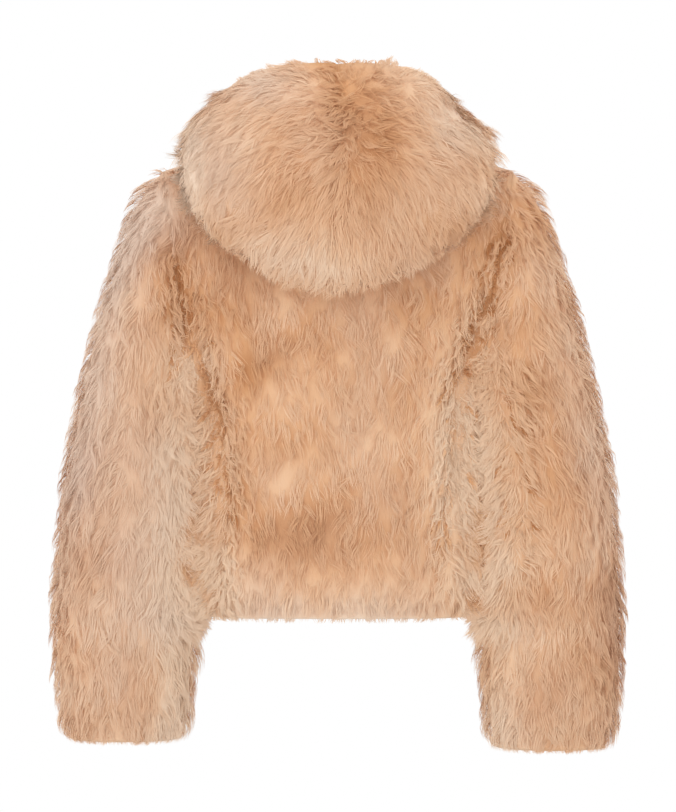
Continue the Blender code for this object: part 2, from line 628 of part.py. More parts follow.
def hood_walls(pull, drop):
    """Inner and outer points of a half of the hood, drawn on the left: columns from the centre
    seam to the throat, rows from the neckline to the rim. The rim is pulled in and drops."""
    skin_line, fur_line = neckline()
    along = np.linspace(0, 1, HOOD_ROWS + 1)
    columns = []
    for point in skin_line:
        off = point[:2] - np.array([0.0, HOOD_NECK_Y])
        radius = np.linalg.norm(off)
        degrees = math.degrees(math.atan2(off[0], off[1]))
        profile = hood_profile(degrees, (radius, point[2]))
        flare = smooth_step(along, *HOOD_FLARES) * (1 - smooth_step(degrees, *HOOD_FLARES_TO))
        settle = (smooth_step(along, *HOOD_SETTLES) * (1 - flare)
                  * smooth_step(degrees, *HOOD_SETTLES_FROM)
                  * (1 - smooth_step(degrees, *HOOD_SETTLES_TO)))
        profile = profile - settle[:, None] * np.array([pull, drop])
        columns.append(np.stack([profile[:, 0] * off[0] / radius,
                                 HOOD_NECK_Y + profile[:, 0] * off[1] / radius,
                                 profile[:, 1]], axis=1))
    grid = np.array(columns).transpose(1, 0, 2)
    normals = normals_of(grid, -1)
    normals[:, 0, 0] = 0.0
    normals = unit(normals)
    depth = hood_pile(grid)[..., None]
    climb = np.linalg.norm(grid - grid[:1], axis=2)[..., None]
    seam_share = np.exp(-(climb / NECK_SEAM_REACH) ** 2)
    outer = grid + (1 - seam_share) * normals * depth + seam_share * (fur_line - skin_line)
    away = np.cross(np.gradient(skin_line, axis=0), fur_line - skin_line)
    for points in (grid, outer):
        points[0] += unit(away) * SEAM_GAP
        points[:, 0, 0] += SEAM_GAP / 2
    return grid, outer


def build_hood(collection):
    """The two halves of the hood, sewn along the centre."""
    inner, outer = hood_walls(0.0, 0.0)
    wall("hood_left", inner, outer, collection)
    inner, outer = hood_walls(HOOD_RIGHT_PULL, HOOD_RIGHT_DROP)
    wall("hood_right", mirrored(inner), mirrored(outer), collection)


# ---------------------------------------------------------------- the jacket

def main():
    for old in list(bpy.data.objects):
        bpy.data.objects.remove(old)
    jacket = bpy.data.collections.new("fur_jacket")
    bpy.context.scene.collection.children.link(jacket)
    build_body(jacket)
    build_sleeves(jacket)
    build_hood(jacket)


main()
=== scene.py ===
"""The fur jacket as it looks: a pelt for each cut piece, covered with locks of fur.

Metres, +Z up, +Y the wearer's back. The pelts and the fur follow the same named sections as
the solids they stand for. Locks are rows of fine tapered strands, laid along a flow over each
piece, with their lengths, lifts and tones from short tables.
"""

import math
from collections import namedtuple

import bpy
import numpy as np
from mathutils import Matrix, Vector


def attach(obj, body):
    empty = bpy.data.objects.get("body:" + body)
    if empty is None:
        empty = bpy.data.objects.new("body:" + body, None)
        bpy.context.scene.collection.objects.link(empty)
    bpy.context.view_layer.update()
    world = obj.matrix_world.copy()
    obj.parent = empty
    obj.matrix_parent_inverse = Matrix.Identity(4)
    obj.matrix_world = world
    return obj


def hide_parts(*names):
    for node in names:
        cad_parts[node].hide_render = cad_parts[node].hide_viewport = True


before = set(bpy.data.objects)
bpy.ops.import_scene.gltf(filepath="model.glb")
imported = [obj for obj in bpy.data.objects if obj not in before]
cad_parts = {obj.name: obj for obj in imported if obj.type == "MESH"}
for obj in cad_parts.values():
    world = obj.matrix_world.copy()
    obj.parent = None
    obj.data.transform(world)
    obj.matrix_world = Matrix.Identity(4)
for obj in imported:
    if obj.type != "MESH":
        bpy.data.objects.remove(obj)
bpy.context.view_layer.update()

MM = 1000                  # tables give lengths as whole millimetres, or as tenths (10 * MM)


def scaled(parts, *rows):
    """Rows of a table. parts says how many parts of a unit each column is given in."""
    return [tuple(value / part for value, part in zip(row, parts)) for row in rows]


def rows_of(kind, parts, *rows):
    """The same with a name for each column."""
    return [kind(*row) for row in scaled(parts, *rows)]


def line_of(*numbers):
    """Points (x, z) of a line, from pairs of numbers in tenths of a millimetre."""
    return scaled([10 * MM] * 2, *zip(numbers[::2], numbers[1::2]))


# ---------------------------------------------------------------- driving dimensions

SEAM_GAP = 0.0004          # clear space between two pieces along a seam
PILE = 0.021               # wall: pelt plus fur, where nothing presses on it
HEM_Z = -0.487             # lowest point of the body
UNDERARM_Z = -0.225        # bottom of the armhole
SHOULDER_X = 0.180         # shoulder point, the top of the armhole
SHOULDER_Z = -0.030
NECK_X = 0.072             # neck point, the inner end of the shoulder seam
NECK_BACK_Y = 0.060        # neckline at the centre back
NECK_BACK_Z = -0.004
NECK_FRONT_Y = -0.074      # neckline at the centre front
NECK_FRONT_Z = -0.052
CONTACT_X = 0.150          # plane in which the hanging sleeve meets the side of the body
BESIDE_ABOVE_UNDERARM = 0.02        # it starts this far above the underarm
BESIDE_ABOVE_HEM = -0.012           # and ends this far below the hem
CUFF_Z = -0.625            # lowest point of the right sleeve's pelt
LEFT_CUFF_LIFT = 0.009     # the left sleeve hangs this much shorter

# Depth of the pile where something presses on it, or where it ends.
THIN_PILE = 0.003          # between the sleeve and the side of the body
PRESS_SLOPE = 0.62         # it deepens by this much per metre to the back and to the front
SIDE_SEAM_PILE = 0.012     # at most, along the side seam
SHOULDER_PILE = 0.014      # at the shoulder point of the armhole seam
TOP_EDGE_PILE = 0.012      # at most, along the shoulder seam and the neckline
UNDER_HOOD_PILE = 0.0095   # on the body, where the hood lies on it
HOOD_UNDER_PILE = 0.0095   # on the part of the hood that lies on the body
HOOD_CREST_PRESS = 0.0035  # lost inside the turn over the hood's crest
CREST_REACH = 0.018        # how far from the crest that loss is felt
NECK_SEAM_REACH = 0.010    # how far up the hood its pile still stands as the body's does
HEM_TAPER = 0.42           # share of its depth that the pile loses towards the hem
HEM_TAPER_HEIGHT = 0.022
HEM_CORNER_TAPER = 0.40    # the same at the foot of the side seam
CUFF_TAPER = 0.45
CUFF_TAPER_HEIGHT = 0.026
RIM_TAPER = 0.40           # towards the rim of the hood
THROAT_TAPER = 0.50        # towards the throat
FRONT_EDGE_TAPER = 0.004   # metres that the fronts lose along the centre
TOUSLE = 0.0022            # unevenness of the fur

# The mesh of each piece: rows run up or down the piece, columns run across it.
BODY_COLUMNS = 11          # from a side seam to the centre back or the centre front
ARMHOLE_ROWS = 12          # from the underarm to the shoulder point, on one side of the armhole
NECK_BACK_ANGLES = [0, 18, 36, 54, 72, 90]      # where the body's columns end at the neckline,
NECK_FRONT_ANGLES = [0, 20, 40, 60, 78, 90]     # from the neck point to the centre
SHOULDER_COLUMNS = BODY_COLUMNS - 5             # and the others along the shoulder seam
RING_POINTS = 2 * ARMHOLE_ROWS
HOOD_SPLIT = 2             # columns of the hood to each column of the body
HOOD_ROWS = 30             # from the neckline to the rim
HELD_ROWS = 8              # rows above the hem that keep their section exactly
EASED_COLUMNS = 2.6        # columns over which the pile rises from the armhole seam

# Horizontal sections of the body below the armholes, on the skin side of the pelt.
BodySection = namedtuple("BodySection", "z half_width back front roundness")
BODY_SECTIONS = rows_of(
    BodySection, [10 * MM] * 4 + [1],
    (-4870, 1310, 1040, -1060, 2.45), (-4740, 1350, 1050, -1070, 2.45),
    (-4300, 1370, 1030, -1050, 2.40), (-3700, 1375, 990, -1040, 2.35),
    (-3100, 1375, 1000, -1080, 2.30), (-2650, 1385, 1040, -1120, 2.25),
    (-2400, 1440, 1060, -1130, 2.20), (-2250, 1496, 1070, -1130, 2.15))
BODY_ROWS_Z = [z / MM for z in (
    -487, -480, -468, -444, -418, -391, -364, -337, -311, -286, -264, -246, -234, -225)]
SEAM_ROW = len(BODY_ROWS_Z) - 1     # the armhole begins at this row

# Centre lines above the underarm: depth from front to back at each height.
CentrePoint = namedtuple("CentrePoint", "z y")
CENTRE_BACK = rows_of(CentrePoint, (MM, MM), (-225, 107), (-160, 106), (-95, 99), (-45, 82))
CENTRE_BACK.append(CentrePoint(NECK_BACK_Z, NECK_BACK_Y))
CENTRE_FRONT = rows_of(CentrePoint, (MM, MM), (-225, -113), (-170, -114), (-115, -104), (-80, -90))
CENTRE_FRONT.append(CentrePoint(NECK_FRONT_Z, NECK_FRONT_Y))

# The armhole is an upright loop, deepest from front to back at its middle.
ARMHOLE_DEPTH_BACK = 0.060
ARMHOLE_DEPTH_FRONT = 0.056
ARMHOLE_BOW = 1.15         # how the loop leans out towards the shoulder point
ARMHOLE_LEAN = 0.55        # how far its pile leans out at the shoulder point
ARMHOLE_DROOP = 0.25       # and how far down under the arm
ARMHOLE_FLAT = (-0.95, 0.35)        # cosines of the turn between which its pile deepens

# How the pile stands along the shoulder seam and along the neckline.
SHOULDER_WAY = (0.25, 0.0, 1.0)
NECK_OUTWARD = 0.75
NECK_UPWARD = 0.66
NECK_DIP = 1.4             # how the neckline dips from the neck point

# Rings of the sleeve below the armhole, on the skin side. Each is a tilted oval that runs from
# its outer point to its inner point, and from its front to its back. The armhole is the first.
SleeveRing = namedtuple("SleeveRing", "outer_x outer_z inner_x inner_z back front")
SLEEVE_RINGS = rows_of(
    SleeveRing, [10 * MM] * 6,
    (1970, -490, 1508, -2270, 600, -570), (2110, -860, 1525, -2310, 610, -590),
    (2240, -1260, 1560, -2380, 620, -610), (2390, -1740, 1600, -2500, 630, -630),
    (2520, -2250, 1620, -2700, 640, -650), (2640, -2800, 1625, -3000, 650, -670),
    (2730, -3350, 1625, -3420, 660, -690), (2790, -3850, 1620, -3880, 670, -700),
    (2835, -4350, 1605, -4360, 680, -710), (2860, -4850, 1590, -4850, 680, -710),
    (2860, -5300, 1600, -5300, 670, -700), (2830, -5680, 1630, -5680, 660, -690),
    (2800, -5970, 1660, -5970, 640, -670), (2775, -6130, 1685, -6130, 620, -650),
    (2740, -6250, 1720, -6250, 600, -630))

# Upright sections through the hood: the plan angle, from the centre back (0) to the throat (180),
# and then the radius and height of six points. They run from the neckline up over a crest, down to
# a fold on the back of the body and up again over a bulge to the rim. Radii are from the middle of
# the neck.
HOOD_SECTIONS = scaled(
    [1] + [MM] * 12,
    (0, 75, 24, 88, 42, 117, -50, 152, -136, 184, -40, 126, 78),
    (30, 76, 24, 89, 42, 119, -44, 165, -121, 188, -34, 128, 75),
    (45, 78, 25, 91, 42, 121, -22, 172, -97, 181, -24, 123, 68),
    (60, 80, 26, 93, 41, 128, 8, 173, -43, 166, -4, 118, 62),
    (75, 81, 26, 94, 40, 126, 23, 156, 7, 146, 21, 112, 56),
    (90, 82, 24, 94, 36, 119, 23, 141, 17, 137, 27, 110, 53),
    (120, 74, 10, 87, 20, 104, 12, 116, 8, 118, 20, 104, 42),
    (145, 72, -12, 81, -2, 90, -2, 97, 0, 102, 8, 99, 24),
    (168, 73, -36, 78, -28, 83, -20, 87, -12, 90, -4, 91, 6))
HOOD_RIGHT_PULL = 0.010    # the right half lies closer in
HOOD_RIGHT_DROP = 0.003    # and lower
HOOD_NECK_Y = -0.007       # middle of the neckline, from which the hood's radii are measured

# Where along a hood section, from the neckline (0) to the rim (1), its pile changes.
HOOD_LEAVES_BODY = (0.44, 0.64)     # from pressed flat to its whole depth
HOOD_RIM_SPAN = (0.93, 1.0)         # thinner towards the rim
HOOD_SETTLES = (0.55, 0.85)         # the right half moves in
HOOD_FLARES = (0.86, 0.97)          # and its rim flares out again
HOOD_FLARES_TO = (48, 72)
HOOD_SETTLES_FROM = (8, 45)         # between these plan angles
HOOD_SETTLES_TO = (95, 140)
HOOD_THROAT_SPAN = (0.62, 0.95)     # thinner towards the throat, along the neckline

# Where the lower edge of the hood lies on the back.
HOOD_EDGE = line_of(0, -1420, 550, -1320, 1050, -1020, 1500, -620, 1900, -100)

HOOD_EDGE_SPAN = (-0.006, 0.026)    # heights round that line over which it presses more
FRONT_COVERED = (-0.070, -0.020)    # heights over which it presses more on the fronts

# Folds of the back and the fronts: grooves from (x0, z0) to (x1, z1), seen from behind or ahead.
Fold = namedtuple("Fold", "x0 z0 x1 z1 half_width depth")
BACK_FOLDS = rows_of(
    Fold, [MM] * 6,
    (164, -120, 146, -210, 13, 8), (146, -210, 128, -330, 14, 9), (132, -330, 141, -440, 12, 7),
    (104, -290, 118, -380, 12, 4), (-160, -115, -147, -195, 13, 8),
    (-146, -190, -126, -300, 14, 9), (-126, -300, -128, -410, 13, 9),
    (-104, -270, -112, -350, 12, 4), (90, -405, -30, -392, 20, 5))
FRONT_FOLDS = rows_of(
    Fold, [MM] * 6,
    (150, -150, 118, -250, 13, 8), (120, -250, 122, -380, 12, 6), (60, -390, 110, -410, 16, 4))
# Soft creases round the sleeve: how far down, how far round, how long and how deep. Angles are
# in degrees, and each crease slopes by FOLD_SLOPE metres to a degree.
SleeveFold = namedtuple("SleeveFold", "z angle reach half_height depth")
FOLD_SLOPE = 0.00035
SLEEVE_FOLDS = rows_of(
    SleeveFold, (MM, 1, 1, MM, MM),
    (-245, 140, 55, 14, 8), (-300, 125, 50, 13, 7), (-365, 110, 45, 14, 6), (-330, 215, 45, 14, 6),
    (-270, 230, 45, 14, 7), (-455, 95, 50, 16, 4), (-520, 250, 50, 16, 4))

FOLD_FADE = 0.4            # share of its length over which a crease keeps its whole depth
SLEEVE_TOUSLE_SHIFT = (0.3, 0.1, 0.0)       # so that the sleeves are uneven in another way
SEAM_SHARE_WAY = 0.45      # how much the ring below the armhole takes of the seam's pile
SEAM_SHARE_PILE = 0.35
BELOW_HEM = (0.004, 0.030)          # below the hem nothing presses on the sleeve
UNDERARM_EASE = 0.01       # the sleeve meets the body this much higher than the body does it
CUFF_LIFT_SPAN = (0.05, 0.36)       # depths below the underarm over which the left sleeve rises


# ---------------------------------------------------------------- small geometry helpers

def ease(x, low, high):
    """0 below low, 1 above high, and an even slope between."""
    t = np.clip((np.asarray(x, float) - low) / (high - low), 0.0, 1.0)
    return t * t * (3.0 - 2.0 * t)


def bell(x, width):
    """1 at 0, falling away on both sides: 0.37 at the width."""
    return np.exp(-(x / width) ** 2)


def norm(vectors):
    """The length of each vector."""
    return np.linalg.norm(vectors, axis=-1)


def unit(vectors):
    """The vectors, each at length one."""
    return vectors / np.maximum(np.linalg.norm(vectors, axis=-1, keepdims=True), 1e-9)


def through(points, stations, wanted):
    """A smooth line through points, given at rising stations, read at the wanted stations."""
    points, stations = np.asarray(points, float), np.asarray(stations, float)
    slopes = np.gradient(points, stations, axis=0)
    found = []
    for s in np.atleast_1d(wanted):
        i = int(np.clip(np.searchsorted(stations, s, side="right") - 1, 0, len(stations) - 2))
        h = stations[i + 1] - stations[i]
        t = (s - stations[i]) / h
        found.append(
            (2 * t**3 - 3 * t**2 + 1) * points[i] + (t**3 - 2 * t**2 + t) * h * slopes[i]
            + (3 * t**2 - 2 * t**3) * points[i + 1] + (t**3 - t**2) * h * slopes[i + 1])
    return np.array(found)


def xyz(points):
    """The three coordinates of points, each as a field of its own."""
    return np.moveaxis(points, -1, 0)


def stations_of(points):
    """How far along the line that joins points each of them is."""
    return np.concatenate([[0.0], np.cumsum(norm(np.diff(points, axis=0)))])


def read_line(points, stations, wanted):
    """The line that joins points, given at rising stations, read at the wanted stations."""
    return np.stack([np.interp(wanted, stations, values) for values in points.T], axis=1)


def evenly(points, count):
    """count + 1 points spaced evenly along the line that joins points."""
    stations = stations_of(points)
    return read_line(points, stations, np.linspace(0.0, stations[-1], count + 1))


def evenly_through(points, fine_count, count):
    """count + 1 points spaced evenly along the smooth line through points."""
    stations = stations_of(points)
    return evenly(through(points, stations, np.linspace(0, stations[-1], fine_count)), count)


def coons(bottom, top, side, centre):
    """A surface between four lines: rows run from bottom to top, columns from side to centre."""
    rows, columns = len(side), len(bottom)
    v = np.linspace(0, 1, rows)[:, None, None]
    u = np.linspace(0, 1, columns)[None, :, None]
    across = (1 - v) * bottom[None] + v * top[None]
    upward = (1 - u) * side[:, None] + u * centre[:, None]
    corners = ((1 - v) * ((1 - u) * bottom[0] + u * bottom[-1])
               + v * ((1 - u) * top[0] + u * top[-1]))
    return across + upward - corners


def relax(grid, held_rows, times):
    """Eases the inside of a grid, leaving its four edges and the first held_rows rows."""
    grid = grid.copy()
    for _ in range(times):
        middle = (grid[:-2, 1:-1] + grid[2:, 1:-1] + grid[1:-1, :-2] + grid[1:-1, 2:]) / 4
        eased = 0.5 * grid[1:-1, 1:-1] + 0.5 * middle
        grid[1 + held_rows:-1, 1:-1] = eased[held_rows:]
    return grid


def normals_of(grid, outward_sign):
    """Unit normals of a grid of points. outward_sign turns them to the fur side."""
    return outward_sign * unit(np.cross(np.gradient(grid, axis=1), np.gradient(grid, axis=0)))


def groove(points, folds):
    """How deep the folds cut at each point, seen from behind or ahead."""
    depth = np.zeros(points.shape[:-1])
    flat = points[..., [0, 2]]
    for f in folds:
        start, end = np.array([f.x0, f.z0]), np.array([f.x1, f.z1])
        along = (flat - start) @ (end - start) / ((end - start) @ (end - start))
        nearest = start + np.clip(along, 0, 1)[..., None] * (end - start)
        off = norm(flat - nearest)
        depth = np.maximum(depth, f.depth * bell(off, f.half_width))
    return depth


def tousle(points, amount):
    """A gentle unevenness of the fur's surface, the same on every run."""
    x, y, z = xyz(points)
    return amount * (np.sin(61 * x + 37 * z + 1.3) * np.sin(53 * z - 29 * y + 0.4)
                     + 0.6 * np.sin(97 * z + 71 * y + 2.1) * np.sin(83 * x + 0.8)) / 1.6


def mirrored(grid):
    """The same grid on the wearer's other side."""
    return grid * np.array([-1.0, 1.0, 1.0])


# ---------------------------------------------------------------- the armhole

def armhole_point(angle):
    """A point of the left armhole on the pelt. Angle 0 is the shoulder point, and it turns
    over the back of the armhole first."""
    middle_z = (SHOULDER_Z + UNDERARM_Z) / 2
    half_height = (SHOULDER_Z - UNDERARM_Z) / 2
    depth = ARMHOLE_DEPTH_BACK if math.sin(angle) >= 0 else ARMHOLE_DEPTH_FRONT
    height = (math.cos(angle) + 1) / 2
    x = CONTACT_X + (SHOULDER_X - CONTACT_X) * height**ARMHOLE_BOW
    return np.array([x, depth * math.sin(angle), middle_z + half_height * math.cos(angle)])


def armhole_way(angle):
    """The way in which the pile stands at the armhole seam, which both its sides share."""
    outward = ARMHOLE_LEAN * (1 + math.cos(angle)) / 2
    return unit(np.array([outward, math.sin(angle), max(math.cos(angle), -ARMHOLE_DROOP)]))


def armhole_pile(angle):
    """Depth of the pile at the armhole seam: full at the shoulder, flat under the arm."""
    deepened = float(ease(math.cos(angle), *ARMHOLE_FLAT))
    return THIN_PILE + (SHOULDER_PILE - THIN_PILE) * deepened


# ---------------------------------------------------------------- the body

def body_line(section, centre_y, count):
    """Points along a horizontal section, from the side seam to the centre back or front."""
    angles = np.linspace(0, math.pi / 2, 181)
    power = 2 / section.roundness
    line = np.stack([section.half_width * np.cos(angles) ** power,
                     centre_y * np.sin(angles) ** power,
                     np.full_like(angles, section.z)], axis=1)
    return evenly(line, count)


def body_section_at(z):
    """The body's section at any height below the armholes."""
    return BodySection(*through(BODY_SECTIONS, [s.z for s in BODY_SECTIONS], z)[0])


def top_line(is_back):
    """From the shoulder point along the shoulder seam to the neck point, then the neckline."""
    neck_y = NECK_BACK_Y if is_back else NECK_FRONT_Y
    neck_z = NECK_BACK_Z if is_back else NECK_FRONT_Z
    degrees = NECK_BACK_ANGLES if is_back else NECK_FRONT_ANGLES
    shoulder = np.linspace([SHOULDER_X, 0, SHOULDER_Z], [NECK_X, 0, 0], SHOULDER_COLUMNS + 1)
    angles = np.radians(degrees[1:])
    neckline = np.stack([NECK_X * np.cos(angles), neck_y * np.sin(angles),
                         neck_z * np.sin(angles) ** NECK_DIP], axis=1)
    return np.concatenate([shoulder, neckline])


def body_quarter(is_back):
    """Inner points of the left half of the back, or of the left front, and their normals.
    Columns run from the side to the centre, and rows from the hem to the top."""
    turn = 1 if is_back else -1
    rows = []
    for z in BODY_ROWS_Z:
        section = body_section_at(z)
        rows.append(body_line(section, section.back if is_back else section.front, BODY_COLUMNS))
    lower = np.array(rows)
    centre_points = CENTRE_BACK if is_back else CENTRE_FRONT
    centre = np.array([[0.0, p.y, p.z] for p in centre_points])
    centre_line = evenly_through(centre, 60, ARMHOLE_ROWS)
    angles = [turn * math.pi * (1 - j / ARMHOLE_ROWS) for j in range(ARMHOLE_ROWS + 1)]
    side_line = np.array([armhole_point(a) for a in angles])
    upper = coons(lower[-1], top_line(is_back), side_line, centre_line)
    grid = np.concatenate([lower, upper[1:]])
    grid = relax(grid, HELD_ROWS, times=6)
    normals = normals_of(grid, turn)
    normals[:, -1, 0] = 0.0          # the pile stands straight out along the centre line
    normals[:SEAM_ROW, 0, 1] = 0.0      # and along the side seam
    normals = unit(normals)
    for j, angle in enumerate(angles):
        normals[SEAM_ROW + j, 0] = armhole_way(angle)
    normals[-1, 1:SHOULDER_COLUMNS] = unit(np.array(SHOULDER_WAY))
    for i in range(SHOULDER_COLUMNS, BODY_COLUMNS + 1):
        normals[-1, i] = neck_way(grid[-1, i])
    return grid, normals, angles


def neck_way(point):
    """The way in which the pile stands along the neckline: outward from the neck and up."""
    outward = unit(np.array([point[0], point[1] - HOOD_NECK_Y, 0.0]))
    return unit(NECK_OUTWARD * outward + np.array([0.0, 0.0, NECK_UPWARD]))


def body_pile(grid, angles, is_back):
    """Depth of the wall at each point of a quarter of the body."""
    x, y, z = xyz(grid)
    depth = PILE + tousle(grid, TOUSLE) - groove(grid, BACK_FOLDS if is_back else FRONT_FOLDS)
    if is_back:
        covered = ease(z - hood_edge_at(x), *HOOD_EDGE_SPAN)
    else:
        covered = ease(z, *FRONT_COVERED)
    depth += (UNDER_HOOD_PILE - depth) * covered
    room = np.maximum(CONTACT_X - x, THIN_PILE) + PRESS_SLOPE * np.abs(y)
    depth = np.minimum(depth, room)
    depth *= 1 - HEM_TAPER * ease(HEM_Z - z, -HEM_TAPER_HEIGHT, 0.0)
    risen = ease(np.arange(grid.shape[1]), 0, EASED_COLUMNS)
    for row, angle in zip(depth[SEAM_ROW:], angles):
        seam = armhole_pile(angle)
        row[:] = seam * (1 - risen) + np.minimum(row, seam + PILE) * risen
    depth[-1] = np.minimum(depth[-1], TOP_EDGE_PILE)
    if not is_back:
        depth[:, -1] -= FRONT_EDGE_TAPER
    return depth


def body_walls(is_back):
    """Inner and outer points of the left half of the back, or of the left front."""
    grid, normals, angles = body_quarter(is_back)
    depth = body_pile(grid, angles, is_back)
    limit = CONTACT_X - SEAM_GAP / 2
    side = np.clip(limit - grid[:SEAM_ROW + 1, 0, 0], THIN_PILE, SIDE_SEAM_PILE)
    side[0] *= 1 - HEM_CORNER_TAPER
    depth[:SEAM_ROW + 1, 0] = side
    outer = grid + normals * depth[..., None]
    beside_sleeve = outer[..., 2] < UNDERARM_Z + BESIDE_ABOVE_UNDERARM
    outer[beside_sleeve, 0] = np.minimum(outer[beside_sleeve, 0], limit)
    turn = 1 if is_back else -1
    for points in (grid, outer):
        points[:SEAM_ROW + 1, 0, 1] += turn * SEAM_GAP / 2     # side seam
        points[SEAM_ROW:, 0, 0] -= SEAM_GAP / 2                # armhole seam
        points[-1, :SHOULDER_COLUMNS + 1, 1] += turn * SEAM_GAP / 2
        if not is_back:
            points[:, -1, 0] += SEAM_GAP / 2                # centre front
    return grid, outer


def hood_edge_at(x):
    """Height of the hood's lower edge on the back."""
    return np.interp(np.abs(x), *zip(*HOOD_EDGE))


def whole(left_half):
    """A half and its mirror image, joined along the centre column."""
    return np.concatenate([left_half, mirrored(left_half)[:, -2::-1]], axis=1)


# ---------------------------------------------------------------- the sleeves

def ring_points(ring, angles):
    """Points round a sleeve ring: angle 0 is its outer point, and it turns over the back."""
    outer = np.array([ring.outer_x, 0.0, ring.outer_z])
    inner = np.array([ring.inner_x, 0.0, ring.inner_z])
    middle, reach = (outer + inner) / 2, (outer - inner) / 2
    side = np.where(np.sin(angles) >= 0, ring.back, -ring.front)
    points = middle + np.cos(angles)[:, None] * reach
    points[:, 1] += side * np.sin(angles)
    return points


def sleeve_pile(grid, angles):
    """Depth of the sleeve's wall at each point, ring by ring."""
    x, y, z = xyz(grid)
    depth = PILE + tousle(grid + np.array(SLEEVE_TOUSLE_SHIFT), TOUSLE)
    for f in SLEEVE_FOLDS:
        away = (angles - math.radians(f.angle) + math.pi) % (2 * math.pi) - math.pi
        felt = 1 - ease(np.degrees(np.abs(away)), FOLD_FADE * f.reach, f.reach)
        slope = FOLD_SLOPE * (np.degrees(angles) - f.angle)
        depth -= f.depth * felt * bell(z - f.z - slope, f.half_height)
    freed = PILE * ease(HEM_Z - z, *BELOW_HEM)
    room = np.maximum(x - CONTACT_X - SEAM_GAP + freed, THIN_PILE) + PRESS_SLOPE * np.abs(y)
    depth = np.minimum(depth, room)
    depth *= 1 - CUFF_TAPER * ease(CUFF_Z - z, -CUFF_TAPER_HEIGHT, 0.0)
    seam = np.array([armhole_pile(a) for a in angles])
    depth[0] = seam
    depth[1] = np.minimum(depth[1], seam * SEAM_SHARE_PILE + depth[1] * (1 - SEAM_SHARE_PILE))
    return depth


def sleeve_walls(cuff_lift):
    """Inner and outer points of the left sleeve, ring by ring from the armhole to the cuff."""
    angles = np.array([2 * math.pi * k / RING_POINTS for k in range(RING_POINTS)])
    rings = [np.array([armhole_point(a) for a in angles])]
    rings += [ring_points(r, angles) for r in SLEEVE_RINGS]
    grid = np.array(rings)
    padded = np.concatenate([grid[:, -1:], grid, grid[:, :1]], axis=1)
    normals = normals_of(padded, -1)[:, 1:-1]
    normals[0] = [armhole_way(a) for a in angles]
    normals[1] = unit(normals[0] * SEAM_SHARE_WAY + normals[1] * (1 - SEAM_SHARE_WAY))
    depth = sleeve_pile(grid, angles)
    outer = grid + normals * depth[..., None]
    height = outer[1:, :, 2]
    beside_body = ((height < UNDERARM_Z + BESIDE_ABOVE_UNDERARM + UNDERARM_EASE)
                   & (height > HEM_Z + BESIDE_ABOVE_HEM))
    limit = np.where(beside_body, CONTACT_X + SEAM_GAP / 2, -math.inf)
    outer[1:, :, 0] = np.maximum(outer[1:, :, 0], limit)
    for points in (grid, outer):
        points[0, :, 0] += SEAM_GAP / 2
        points[..., 2] += cuff_lift * ease(UNDERARM_Z - points[..., 2], *CUFF_LIFT_SPAN)
    return grid, outer


# ---------------------------------------------------------------- the hood

def neckline():
    """Inner and outer points of the body's neckline, from the centre back to the throat."""
    lines = []
    for back, front in zip(body_walls(is_back=True), body_walls(is_back=False)):
        behind, ahead = back[-1, SHOULDER_COLUMNS:], front[-1, SHOULDER_COLUMNS:-1]
        corner = (behind[0] + ahead[0]) / 2
        line = np.concatenate([behind[:0:-1], [corner], ahead[1:]])
        parts = (len(line) - 1) * HOOD_SPLIT + 1
        where = np.linspace(0, len(line) - 1, parts)
        lines.append(read_line(line, np.arange(len(line)), where))
    return lines


def hood_profile(angle_degrees, start):
    """Inner points of one upright section of the hood, as (radius, height) pairs."""
    section = through(HOOD_SECTIONS, [row[0] for row in HOOD_SECTIONS], angle_degrees)[0]
    return evenly_through(np.concatenate([[start], section[1:].reshape(-1, 2)]), 160, HOOD_ROWS)


def hood_pile(grid):
    """Depth of the hood's wall at each point."""
    along = np.linspace(0, 1, grid.shape[0])[:, None]
    across = np.linspace(0, 1, grid.shape[1])[None]
    free = ease(along, *HOOD_LEAVES_BODY)
    depth = HOOD_UNDER_PILE + (PILE - HOOD_UNDER_PILE) * free
    depth = depth + tousle(grid, TOUSLE) * free
    depth *= 1 - RIM_TAPER * ease(along, *HOOD_RIM_SPAN)
    tops = grid[:HOOD_ROWS // 2, :, 2].argmax(axis=0)
    crest = grid[tops, np.arange(grid.shape[1])]
    from_crest = norm(grid - crest)
    depth -= HOOD_CREST_PRESS * bell(from_crest, CREST_REACH)
    return depth * (1 - THROAT_TAPER * ease(across, *HOOD_THROAT_SPAN))


